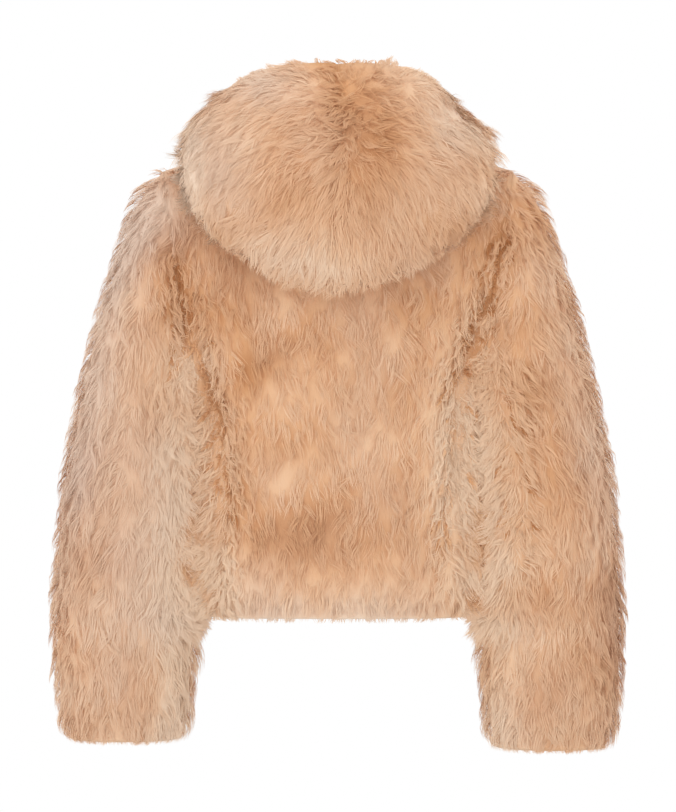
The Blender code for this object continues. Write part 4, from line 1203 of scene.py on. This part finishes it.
def pelt_of(piece, cover, tone, blush, skin_look, under_look):
    """The pelt of one piece: suede inside and dense underfur outside, one closed sheet."""
    pick = np.ix_(picked(cover.skin.shape[0], False), picked(cover.skin.shape[1], piece.closed))
    inner = cover.skin[pick].copy()
    lumps = 0.0009 * wander(inner, 0.016, 12) + 0.0004 * wander(inner, 0.007, 13)
    if piece.kind == "hood":
        lumps = 0.5 * lumps - 0.0006
    else:
        lumps = 0.6 * lumps * (1 - 0.8 * parted_at(cover.tips[pick], 0.012)) - 0.0008
    share = pelt_share(piece, cover)[pick]
    reach = cover.depth[pick] * share + lumps * ease(cover.depth[pick], *PRESSED_DEPTHS)
    outer = inner + cover.way[pick] * np.maximum(reach, LEAST_PELT)[..., None]
    free, seam = (-1, 0) if piece.kind in ("sleeve", "hood") else (0, -1)
    for grid in (inner, outer):
        grid[free] += unit(grid[1 if free == 0 else -2] - grid[free]) * EDGE_DRAW
        grid[seam] += unit(grid[seam] - grid[1 if seam == 0 else -2]) * SEAM_LAP
        if not piece.closed:
            grid[:, 0] += unit(grid[:, 0] - grid[:, 1]) * SEAM_LAP
            grid[:, -1] += unit(grid[:, -1] - grid[:, -2]) * SEAM_LAP
    count = inner.shape[0] * inner.shape[1]
    index = np.arange(count).reshape(inner.shape[:2])
    if piece.closed:
        index = np.concatenate([index, index[:, :1]], axis=1)
    a, b, c, d = index[:-1, :-1], index[:-1, 1:], index[1:, 1:], index[1:, :-1]
    skin_faces = np.stack([a, b, c, d], axis=-1).reshape(-1, 4)
    fur_faces = np.stack([a, d, c, b], axis=-1).reshape(-1, 4) + count
    edges = [index[0], index[-1, ::-1]]
    if not piece.closed:
        edges += [index[::-1, 0], index[:, -1]]
    rim_faces = np.concatenate([
        np.stack([low[:-1], low[:-1] + count, low[1:] + count, low[1:]], axis=-1)
        for low in edges])
    faces = np.concatenate([skin_faces, fur_faces, rim_faces])
    points = np.concatenate([inner.reshape(-1, 3), outer.reshape(-1, 3)])
    data = mesh_from("pelt_" + piece.name, points, faces.ravel(), np.full(len(faces), 4))
    looks = np.concatenate([np.zeros(len(skin_faces)), np.ones(len(fur_faces) + len(rim_faces))])
    for look in (skin_look, under_look):
        data.materials.append(look)
    data.polygons.foreach_set("material_index", looks.astype(np.int32))
    if signed_volume(points, faces) < 0:
        data.flip_normals()
    # The underfur's tone, with painted shade where the fur curls and along the creases, and
    # painted light where it faces sideways.
    _, curl = crease_pull(cover.tips[pick])
    under = tone[pick] - 0.10 * ease(curl, 0.25, 0.8)
    if piece.kind != "hood":
        under -= 0.24 * parted_at(cover.tips[pick], 0.008)
    side = np.abs(cover.normal[pick][..., 0])
    under += 0.12 * ease(side, 0.5, 0.95)
    add_values(data, "tone", np.concatenate([np.zeros(count), under.ravel()]))
    add_values(data, "blush", np.concatenate([np.zeros(count), blush[pick].ravel()]))
    return add_piece(data)


def signed_volume(points, quads):
    """Volume inside the faces, below zero where they face inward."""
    p = points[quads]
    first = np.einsum("ij,ij->i", p[:, 0], np.cross(p[:, 1], p[:, 2])).sum()
    second = np.einsum("ij,ij->i", p[:, 0], np.cross(p[:, 2], p[:, 3])).sum()
    return (first + second) / 6


# ---------------------------------------------------------------- the fur

# Strands of a piece of each kind and how many make a lock; their length and width, how far a lock
# spreads at its root, and the angle in degrees at which it lifts.
Coat = namedtuple("Coat", "strands lock length width spread lift")
COATS = {
    "back": Coat(39000, 11, 0.030, 0.0012, 0.0060, 50),
    "front": Coat(13000, 9, 0.030, 0.0017, 0.0065, 48),
    "sleeve": Coat(38500, 11, 0.031, 0.0013, 0.0064, 50),
    "hood": Coat(21500, 11, 0.031, 0.0012, 0.0060, 48),
}
KNOTS = np.linspace(0, 1, 4)           # points along a strand
STRAND_FACES = [4, 4, 3]   # corners of each of its faces, and the points that they join
STRAND_CORNERS = [0, 1, 3, 2, 2, 3, 5, 4, 4, 5, 6]
STRAND_WIDTHS = np.array([0.90, 1.00, 0.70, 0.0])       # and how wide it is there
ROOT_SHARE = 0.30          # share of the wall's depth from which the strands start
MEETING_ROOT_SHARE = 0.22  # and how much more it is where two pieces meet
LEAST_STEP = 4e-4          # shortest fine step that a lock's strands are spread by
FREE_DEPTHS = (0.006, 0.018)        # depths of the wall over which its fur comes free
PRESSED_LENGTH = 0.45      # share of its length that pressed fur keeps
HOOD_RIM_FUR = (0.90, 1.0)          # along the hood, where its fur gets shorter towards the rim
LEAST_SWING = 0.0006       # how far plain strands sway from side to side
CURLY_SWING = 0.0030       # and how much further curly ones do
RAISED_LIFT = 82           # degrees at the root where the fur is raised
LAST_LIFT = 4.0            # degrees at the tip
HUG = 4.0                  # how much a strand bends down to the piece, per metre
CLUMP = 0.50               # how far the tips of a lock draw together
LOCK_LENGTHS = (0.72, 1.12)         # locks differ in length by these shares,
LOCK_LIFTS = 9             # in lift by about so many degrees,
LOCK_TURNS = (0.55, 1.25)  # in how many waves they have,
LOCK_LEANS = 0.27          # in how far they lean to one side
LOCK_TONES = 0.030         # and in tone
STRAND_JITTER = (0.13, 7, 0.35, 0.10, 0.016)    # strands in length, lift, wave, lean and tone
ROLL = 0.32                # how far strands roll about their run, in radians
STRAND_BREADTHS = (0.75, 1.25)      # shares by which they differ in width
RAGGED_LEAST = 0.0010      # the fur reaches this far below a piece's lower edge
RAGGED_MORE = 0.0040       # and up to this much further
SLOT_LEAST_CURL = 0.22     # the slots lie only where the fur is at least this curly
SLOT_EDGE = 0.55           # strands end where a slot is this deep
SLOT_DARKENS = (0.28, 0.60)         # depths in a slot over which strands take on painted shade
SLOT_SHADE = 0.56          # their tone deepening by this much at the root, as painted shade


def strand_density(piece, cover):
    """How thick the fur stands: most on the back, thin where it is pressed and unseen."""
    facing = np.clip(cover.normal[..., 1], 0, 1)
    if piece.kind == "hood":
        facing = np.maximum(facing, np.clip(cover.normal[..., 2], 0, 1))
    _, curl = crease_pull(cover.tips)
    dense = (0.62 + 0.62 * np.sqrt(facing)) * (1 + 0.9 * ease(curl, 0.2, 0.7))
    if piece.kind == "hood":
        along = np.linspace(0, 1, cover.skin.shape[0])[:, None]
        seen = np.maximum(ease(along, 0.40, 0.50), 0.5 * (1 - ease(along, 0.12, 0.2)))
        seen = np.maximum(seen, open_front(piece, cover))
        return dense * (0.05 + 0.95 * seen)
    dense = dense * (1 + 0.6 * parted_at(cover.tips, 0.008))
    free = ease(cover.depth, 0.006, 0.016)
    if piece.kind == "back":
        hidden = ease(cover.tips[..., 2] - hood_edge_at(cover.tips[..., 0]), 0.020, 0.045)
        dense = dense * (1 - 0.93 * hidden)
    seen = np.maximum(ease(facing, 0.1, 0.4), cover.meeting)
    seen = np.maximum(seen, open_front(piece, cover))
    touching = near_contact(cover, 0.008)
    dense = dense * (1 + 1.7 * cover.meeting * touching)
    return dense * np.maximum(0.25 + 0.75 * free, seen) * (1 + 0.8 * cover.meeting)


def sow(piece, cover, coat, dice):
    """Row and column of each lock and of each strand, and which lock owns each strand."""
    locks = coat.strands // coat.lock
    weight = cover.area * strand_density(piece, cover)
    weight = weight[:-1] if piece.closed else weight[:-1, :-1]
    total = np.cumsum(weight.ravel())
    chosen = np.searchsorted(total, (np.arange(locks) + dice.random(locks)) / locks * total[-1])
    lock_u = chosen // weight.shape[1] + dice.random(locks)
    lock_v = chosen % weight.shape[1] + dice.random(locks)
    owner = np.repeat(np.arange(locks), coat.lock)
    turn = dice.uniform(0, 2 * math.pi, len(owner))
    off = coat.spread * np.sqrt(dice.random(len(owner)))
    steps = (np.maximum(norm(read_at(way, lock_u, lock_v, piece.closed)), LEAST_STEP)[owner]
             for way in (cover.rows_way, cover.columns_way))
    u = lock_u[owner] + off * np.cos(turn) / next(steps)
    v = lock_v[owner] + off * np.sin(turn) / next(steps)
    return lock_u, lock_v, owner, u, v


def paths_of(piece, cover, lie, u, v, length, lift, phase, turns, lean):
    """Points along strands that start at the given rows and columns, with the way out and the
    curl at each root."""
    def at(field):
        return read_at(field, u, v, piece.closed)

    depth, meeting = at(cover.depth), at(cover.meeting)
    root = (ROOT_SHARE + MEETING_ROOT_SHARE * meeting) * depth
    start = at(cover.skin) + at(cover.way) * root[:, None]
    out = bent_out(at(cover.normal), meeting, start)
    ahead = unit(at(lie.flow))
    ahead = unit(ahead + lean[:, None] * np.cross(out, ahead))
    side = np.cross(out, ahead)
    curly, shown = at(lie.curl), at(open_front(piece, cover))
    free = np.maximum(ease(depth, *FREE_DEPTHS), np.maximum(meeting, 0.7 * shown))
    raised = np.maximum(at(lie.valley), 0.45 * meeting)
    length = length * (PRESSED_LENGTH + (1 - PRESSED_LENGTH) * free) * (1 - 0.22 * curly)
    if piece.kind == "hood":
        rim = np.zeros(cover.depth.shape)
        rim = rim + ease(np.linspace(0, 1, rim.shape[0]), *HOOD_RIM_FUR)[:, None]
        sideways = np.abs(out[:, 0])
        length = length * (1 - 0.45 * at(rim))
        length = length * (1 - 0.35 * ease(sideways, 0.70, 0.95))
        lift = lift * (1 - 0.45 * sideways)
        length = length * (1 + 0.35 * np.exp(-((start[:, 0] - 0.01) / 0.05) ** 2
                                             - ((start[:, 2] + 0.10) / 0.03) ** 2))
    middles = (KNOTS[1:] + KNOTS[:-1]) / 2
    lift = lift + (RAISED_LIFT - lift) * raised
    last = (LAST_LIFT + 38 * raised)[:, None]
    angles = np.radians(last + (lift[:, None] - last) * (1 - middles) ** 1.3)
    step = length[:, None] / len(middles)
    forward, upward = (np.cumsum(np.concatenate([np.zeros((len(u), 1)), step * part], 1), 1)
                       for part in (np.cos(angles), np.sin(angles)))
    room = 0.97 * depth - root + 0.012 * raised + 0.007 * meeting + 0.005 * shown
    upward *= np.minimum(1.0, room / np.maximum(upward[:, -1], 1e-6))[:, None]
    upward -= HUG * forward**2
    swing = (LEAST_SWING + CURLY_SWING * curly)[:, None] * KNOTS
    wave = 2 * math.pi * turns[:, None] * (1 + 0.5 * curly[:, None]) * KNOTS + phase[:, None]
    sideways = swing * (np.sin(wave) - np.sin(phase)[:, None])
    upward += 0.6 * swing * (np.cos(wave) - np.cos(phase)[:, None])
    points = (start[:, None] + ahead[:, None] * forward[..., None]
              + out[:, None] * upward[..., None] + side[:, None] * sideways[..., None])
    return points, out, curly


def shortened(points, share):
    """The strands, each drawn back to a share of itself."""
    return points[:, :1] + (points - points[:, :1]) * share[:, None, None]


def keep_out_of_slots(points, tips, curly, on_hood):
    """Draws strands back where they would cross a slot, and says how deep in one each stands."""
    near = np.flatnonzero((curly > SLOT_LEAST_CURL) & (points[:, 0, 1] > 0))
    slot = np.zeros(len(points))
    slot[near] = slot_at(tips[near], on_hood)
    share = np.full(len(near), 1.0)
    for t in np.linspace(1.0, 0.16, 8):
        first = np.clip(np.searchsorted(KNOTS, t) - 1, 0, len(KNOTS) - 2)
        part = (t - KNOTS[first]) / (KNOTS[first + 1] - KNOTS[first])
        there = points[near, first] * (1 - part) + points[near, first + 1] * part
        share = np.where(slot_at(there, on_hood) > SLOT_EDGE, max(t - 0.10, 0.22), share)
    points[near] = shortened(points[near], np.minimum(share, 1 - 0.72 * slot[near]))
    return slot


def rounded_normals(piece, points, out, face, curly, off_lock, spread):
    """Normals that shade the strands of a lock as one soft round tuft."""
    bend = ease(np.abs(out[:, 0]), 0.15, 0.9)
    if piece.kind == "sleeve":
        bend *= ease(-out[:, 0] * piece.side, 0.1, 0.4)
    bend = np.maximum(bend, 0.6 * ease(-out[:, 2], 0.05, 0.50))
    turned = 1.3 * bend * np.clip(points[:, 0, 1] / 0.035, -1, 1)
    lit = out + np.stack([0 * bend, turned, 0 * bend], axis=-1)
    rounded = unit(lit[:, None] + (0.10 + 0.25 * curly)[:, None, None] * off_lock / spread
                   + 0.05 * face)
    return np.concatenate([np.repeat(rounded[:, :-1], 2, axis=1), rounded[:, -1:]], axis=1)


def fur_of(piece, cover, lie, tone, blush, look):
    """The strands of one piece, gathered in locks."""
    coat = COATS[piece.kind]
    dice = np.random.default_rng(SEED + sum(map(ord, piece.name)))
    lock_u, lock_v, owner, u, v = sow(piece, cover, coat, dice)
    locks, count = len(lock_u), len(owner)
    length = coat.length * dice.uniform(*LOCK_LENGTHS, locks)
    lift = coat.lift + dice.normal(0, LOCK_LIFTS, locks)
    phase = dice.uniform(0, 2 * math.pi, locks)
    turns = dice.uniform(*LOCK_TURNS, locks)
    lean = dice.normal(0, LOCK_LEANS, locks)
    lock_tone = dice.normal(0, LOCK_TONES, locks)
    jitter = dice.normal(0, 1, (5, count)) * np.array(STRAND_JITTER)[:, None]

    def at(field):
        return read_at(field, u, v, piece.closed)

    own, out, curly = paths_of(
        piece, cover, lie, u, v, length[owner] * (1 + jitter[0]), lift[owner] + jitter[1],
        phase[owner] + jitter[2], turns[owner], lean[owner] + jitter[3])
    centre, _, _ = paths_of(piece, cover, lie, lock_u, lock_v, length, lift, phase, turns, lean)
    gather = np.minimum(CLUMP + 0.48 * curly, 0.93)[:, None] * KNOTS ** 1.1
    points = own * (1 - gather[..., None]) + centre[owner] * gather[..., None]
    slot = keep_out_of_slots(points, at(cover.tips), curly, piece.kind == "hood")
    # Painted shade: strands deep in a slot are laid flat on the pelt, widened and deepened in
    # tone, a sheet of shade along the parting.
    painted_slot_shade = ease(slot, *SLOT_DARKENS)
    rise = ((points - points[:, :1]) * out[:, None]).sum(axis=-1)
    points -= out[:, None] * (0.75 * painted_slot_shade[:, None] * rise)[..., None]
    buried = (at(pelt_share(piece, cover)) - ROOT_SHARE
              - MEETING_ROOT_SHARE * at(cover.meeting)) * at(cover.depth)
    points += out[:, None] * ((buried + 0.0012) * painted_slot_shade)[:, None, None]

    ragged = edge_z(piece) - RAGGED_LEAST - RAGGED_MORE * dice.random(count)
    drop = points[:, 0, 2] - points[:, -1, 2]
    points = shortened(
        points, np.clip((points[:, 0, 2] - ragged) / np.maximum(drop, 1e-4), 0.12, 1.0))

    run = unit(np.gradient(points, axis=1))
    across = unit(np.cross(run, out[:, None]))
    face = np.cross(across, run)
    roll = dice.normal(0, ROLL, count)[:, None, None]
    across = across * np.cos(roll) + face * np.sin(roll)
    width = 0.62 * coat.width * dice.uniform(*STRAND_BREADTHS, count) * (1 + 1.5 * painted_slot_shade)
    half = (width[:, None] * STRAND_WIDTHS / 2)[..., None]
    left, right = points - across * half, points + across * half
    strands = np.concatenate(
        [np.stack([left[:, :-1], right[:, :-1]], axis=2).reshape(count, -1, 3),
         points[:, -1:]], axis=1)
    per = strands.shape[1]
    corners = (np.arange(count)[:, None] * per + np.array(STRAND_CORNERS)[None]).ravel()
    data = mesh_from("fur_" + piece.name, strands.reshape(-1, 3), corners,
                     np.tile(STRAND_FACES, count))
    data.materials.append(look)
    shading = rounded_normals(piece, points, out, face, curly, points - centre[owner],
                              coat.spread)
    layer = data.attributes.new("custom_normal", "FLOAT_VECTOR", "POINT")
    layer.data.foreach_set("vector", np.ascontiguousarray(shading, np.float32).ravel())

    knots = np.append(np.repeat(KNOTS[:-1], 2), 1.0)
    base = at(tone) + lock_tone[owner] + jitter[4]
    # Roots deeper and tips paler; painted shade at the roots where the fur curls, and deep in the
    # slots.
    shade = base[:, None] - 0.06 * (1 - ease(knots, 0.0, 0.75)) + 0.03 * knots**2
    shade -= (0.10 * ease(curly, 0.3, 0.9))[:, None] * (1 - knots)
    shade -= painted_slot_shade[:, None] * (SLOT_SHADE - 0.10 * knots)
    add_values(data, "tone", shade.ravel())
    add_values(data, "blush", np.repeat(at(blush), per))
    lay_out(data, count, knots)
    return add_piece(data)


def lay_out(data, count, knots):
    """Gives every strand a place of its own in the piece's flat map."""
    across = int(math.ceil(math.sqrt(count * 2.0)))
    down = int(math.ceil(count / across))
    cell = np.arange(count)
    corner_u = np.array([0.2, 0.8] * 3 + [0.5])
    corner_v = 0.08 + 0.84 * knots
    u = (cell[:, None] % across + corner_u[None]) / across
    v = (cell[:, None] // across + corner_v[None]) / down
    flat = np.stack([u, v], axis=-1)[:, STRAND_CORNERS].reshape(-1)
    layer = data.uv_layers.new(name="OFBake")
    layer.data.foreach_set("uv", np.ascontiguousarray(flat, np.float32))


# ---------------------------------------------------------------- looks

# Colours along the fur's tone. The deepest stops are reached mostly where shade is painted, in the
# slots and valleys.
FUR_TONES = [(0.00, (0.390, 0.152, 0.048)), (0.30, (0.598, 0.306, 0.143)),
             (0.52, (0.708, 0.427, 0.244)), (0.76, (0.765, 0.514, 0.330)),
             (1.00, (0.800, 0.596, 0.425))]
BLUSH_COLOUR = (0.660, 0.533, 0.450)
SUEDE_TONES = [(0.0, (0.36, 0.22, 0.13)), (1.0, (0.52, 0.34, 0.215))]


def set_inputs(made, values):
    for name, value in values.items():
        made.inputs[name].default_value = value


def new_look(name, values):
    """A material, its nodes and its shader, with plain values set on the shader."""
    made = bpy.data.materials.new(name)
    made.use_nodes = True
    shader = made.node_tree.nodes["Principled BSDF"]
    set_inputs(shader, values)
    return made, made.node_tree, shader


def node(tree, kind, values={}, **settings):
    """A node with plain values set on its inputs, and with its other settings."""
    made = tree.nodes.new(kind)
    for key, value in settings.items():
        setattr(made, key, value)
    set_inputs(made, values)
    return made


def ramp(tree, stops, source):
    """A colour read from stops of (place, colour)."""
    made = node(tree, "ShaderNodeValToRGB")
    elements = made.color_ramp.elements
    while len(elements) < len(stops):
        elements.new(0.5)
    for element, (place, colour) in zip(elements, stops):
        element.position = place
        element.color = (*colour, 1.0)
    tree.links.new(source, made.inputs["Fac"])
    return made.outputs["Color"]


def sums(tree, kind, first, second):
    """One of Blender's sums of two numbers, each an output or a plain number."""
    made = node(tree, "ShaderNodeMath", operation=kind)
    for socket, value in zip(made.inputs, (first, second)):
        if isinstance(value, (int, float)):
            socket.default_value = value
        else:
            tree.links.new(value, socket)
    return made.outputs[0]


def noise(tree, scale, detail, stretch=(1, 1, 1)):
    """Noise over the object's own space."""
    place = node(tree, "ShaderNodeTexCoord")
    mapping = node(tree, "ShaderNodeMapping", {"Scale": stretch})
    tree.links.new(place.outputs["Object"], mapping.inputs["Vector"])
    made = node(tree, "ShaderNodeTexNoise", {"Scale": scale, "Detail": detail})
    tree.links.new(mapping.outputs["Vector"], made.inputs["Vector"])
    return made.outputs["Fac"]


def add_rough(tree, shader, source, least, more):
    """Roughness from a noise: least, and more where the noise is high."""
    rough = sums(tree, "ADD", sums(tree, "MULTIPLY", source, more), least)
    tree.links.new(rough, shader.inputs["Roughness"])


def add_bump(tree, shader, source, strength, distance):
    bump = node(tree, "ShaderNodeBump", {"Strength": strength, "Distance": distance})
    tree.links.new(source, bump.inputs["Height"])
    tree.links.new(bump.outputs["Normal"], shader.inputs["Normal"])


def fur_look(name, offset, sheen, grain_bump):
    """Soft camel fur: deep at the roots and pale at the tips, uneven in patches."""
    made, tree, shader = new_look(name, {
        "Specular IOR Level": 0.35, "Sheen Weight": sheen, "Sheen Roughness": 0.45,
        "Sheen Tint": (1.0, 0.86, 0.74, 1.0)})
    tone, blush = (node(tree, "ShaderNodeAttribute", attribute_name=name).outputs["Fac"]
                   for name in ("tone", "blush"))
    grain = noise(tree, 420.0, 2.0, (1.0, 1.0, 0.25))
    uneven = sums(tree, "MULTIPLY", sums(tree, "SUBTRACT", grain, 0.5), 0.12)
    place = sums(tree, "ADD", sums(tree, "ADD", tone, offset), uneven)
    colour = ramp(tree, FUR_TONES, place)
    mix = node(tree, "ShaderNodeMix", data_type="RGBA")
    sockets = {(s.name, s.type): s for s in mix.inputs}
    tree.links.new(sums(tree, "MULTIPLY", blush, 0.75), sockets["Factor", "VALUE"])
    tree.links.new(colour, sockets["A", "RGBA"])
    sockets["B", "RGBA"].default_value = (*BLUSH_COLOUR, 1.0)
    result = [s for s in mix.outputs if s.type == "RGBA"][0]
    tree.links.new(result, shader.inputs["Base Color"])
    add_rough(tree, shader, grain, 0.58, 0.20)
    if grain_bump:
        add_bump(tree, shader, grain, 0.6, 0.0012)
    return made


def suede_look():
    """The skin side of the pelt: plain suede with a fine nap."""
    made, tree, shader = new_look("suede", {"Sheen Weight": 0.3})
    clouds, nap = noise(tree, 26.0, 4.0), noise(tree, 900.0, 3.0)
    place = sums(tree, "ADD", sums(tree, "MULTIPLY", clouds, 0.7),
                 sums(tree, "MULTIPLY", nap, 0.3))
    tree.links.new(ramp(tree, SUEDE_TONES, place), shader.inputs["Base Color"])
    add_rough(tree, shader, nap, 0.80, 0.15)
    add_bump(tree, shader, nap, 0.35, 0.0004)
    return made


# ---------------------------------------------------------------- the cloth's cut

# Width and length of the rectangle that a pelt of each kind was cut from, the area of its cut, and
# the pieces it rests on, on its own side.
Cut = namedtuple("Cut", "width length area rests_on")


def build_jacket():
    """Every piece: its pelt in place of the solid, and its fur."""
    skin_look = suede_look()
    under_look = fur_look("underfur", 0.46, 0.05, True)
    look = fur_look("fur_strands", 0.60, 0.08, False)
    for piece in jacket_pieces():
        cover = cover_of(piece)
        tone, blush = tone_of(piece, cover)
        pelt = pelt_of(piece, cover, tone, blush, skin_look, under_look)
        fur = fur_of(piece, cover, lie_of(piece, cover), tone, blush, look)
        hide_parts(piece.name)


# ---------------------------------------------------------------- stage, light and camera

SENSOR = 36.0              # width of the camera's sensor, in millimetres
CAMERA_Y = 4.0
CAMERA_Z = -0.269
FRAME_HEIGHT = 0.8526      # metres seen from top to bottom of the picture, at the jacket
FLOOR_Z = -1.35
FLOOR_RADIUS = 3.4


def build_stage():
    """A plain pale floor, well below."""
    count = 96
    turns = np.arange(count) * 2 * math.pi / count
    points = np.stack([FLOOR_RADIUS * np.cos(turns), FLOOR_RADIUS * np.sin(turns),
                       np.full(count, FLOOR_Z)], axis=1)
    data = mesh_from("floor", points, np.arange(count), np.array([count]))
    look, _, _ = new_look("pale_floor", {"Base Color": (0.86, 0.86, 0.86, 1.0), "Roughness": 0.9})
    data.materials.append(look)
    placed(data)


# Soft square lamps: name, place, height they aim at, width, power, and whether they cast shadows.
LAMPS = [
    ("key_behind", (0.9, 2.6, 1.9), -0.25, 1.8, 6.5, True),
    ("fill_behind", (0.3, 3.0, 1.2), -0.25, 1.8, 18.0, False),
    ("fill_front", (-0.8, -2.8, 1.6), -0.25, 2.0, 18.0, False),
    ("fill_left", (3.0, 0.6, 0.6), -0.25, 2.0, 9.0, False),
    ("fill_right", (-3.0, 0.6, 0.6), -0.25, 2.0, 4.5, False),
    ("fill_top", (0.2, 0.6, 3.0), -0.1, 2.0, 9.0, False),
]


def build_light():
    """Even soft light from all round, and six lamps, of which one casts shadows."""
    world = bpy.data.worlds.new("studio")
    world.use_nodes = True
    set_inputs(world.node_tree.nodes["Background"],
               {"Color": (1.0, 1.0, 1.0, 1.0), "Strength": 1.0})
    bpy.context.scene.world = world
    for name, place, aim_z, width, power, shadows in LAMPS:
        lamp = bpy.data.lights.new(name, "AREA")
        lamp.shape = "SQUARE"
        lamp.size = width
        lamp.energy = power
        lamp.use_shadow = shadows
        made = placed(lamp)
        made.location = place
        way = np.array((0, 0, aim_z), float) - np.array(place, float)
        made.rotation_mode = "QUATERNION"
        made.rotation_quaternion = Vector(way).to_track_quat("-Z", "Y")
    bpy.context.scene.view_settings.view_transform = "Standard"


def build_camera():
    """A long lens level with the middle of the jacket, straight behind it."""
    lens = bpy.data.cameras.new("camera")
    lens.sensor_fit = "AUTO"
    lens.sensor_width = SENSOR
    lens.lens = SENSOR * CAMERA_Y / FRAME_HEIGHT
    lens.clip_end = 60.0
    made = placed(lens)
    made.location = (0.0, CAMERA_Y, CAMERA_Z)
    made.rotation_euler = (math.pi / 2, 0.0, math.pi)
    bpy.context.scene.camera = made


build_camera()
build_light()
build_stage()
build_jacket()
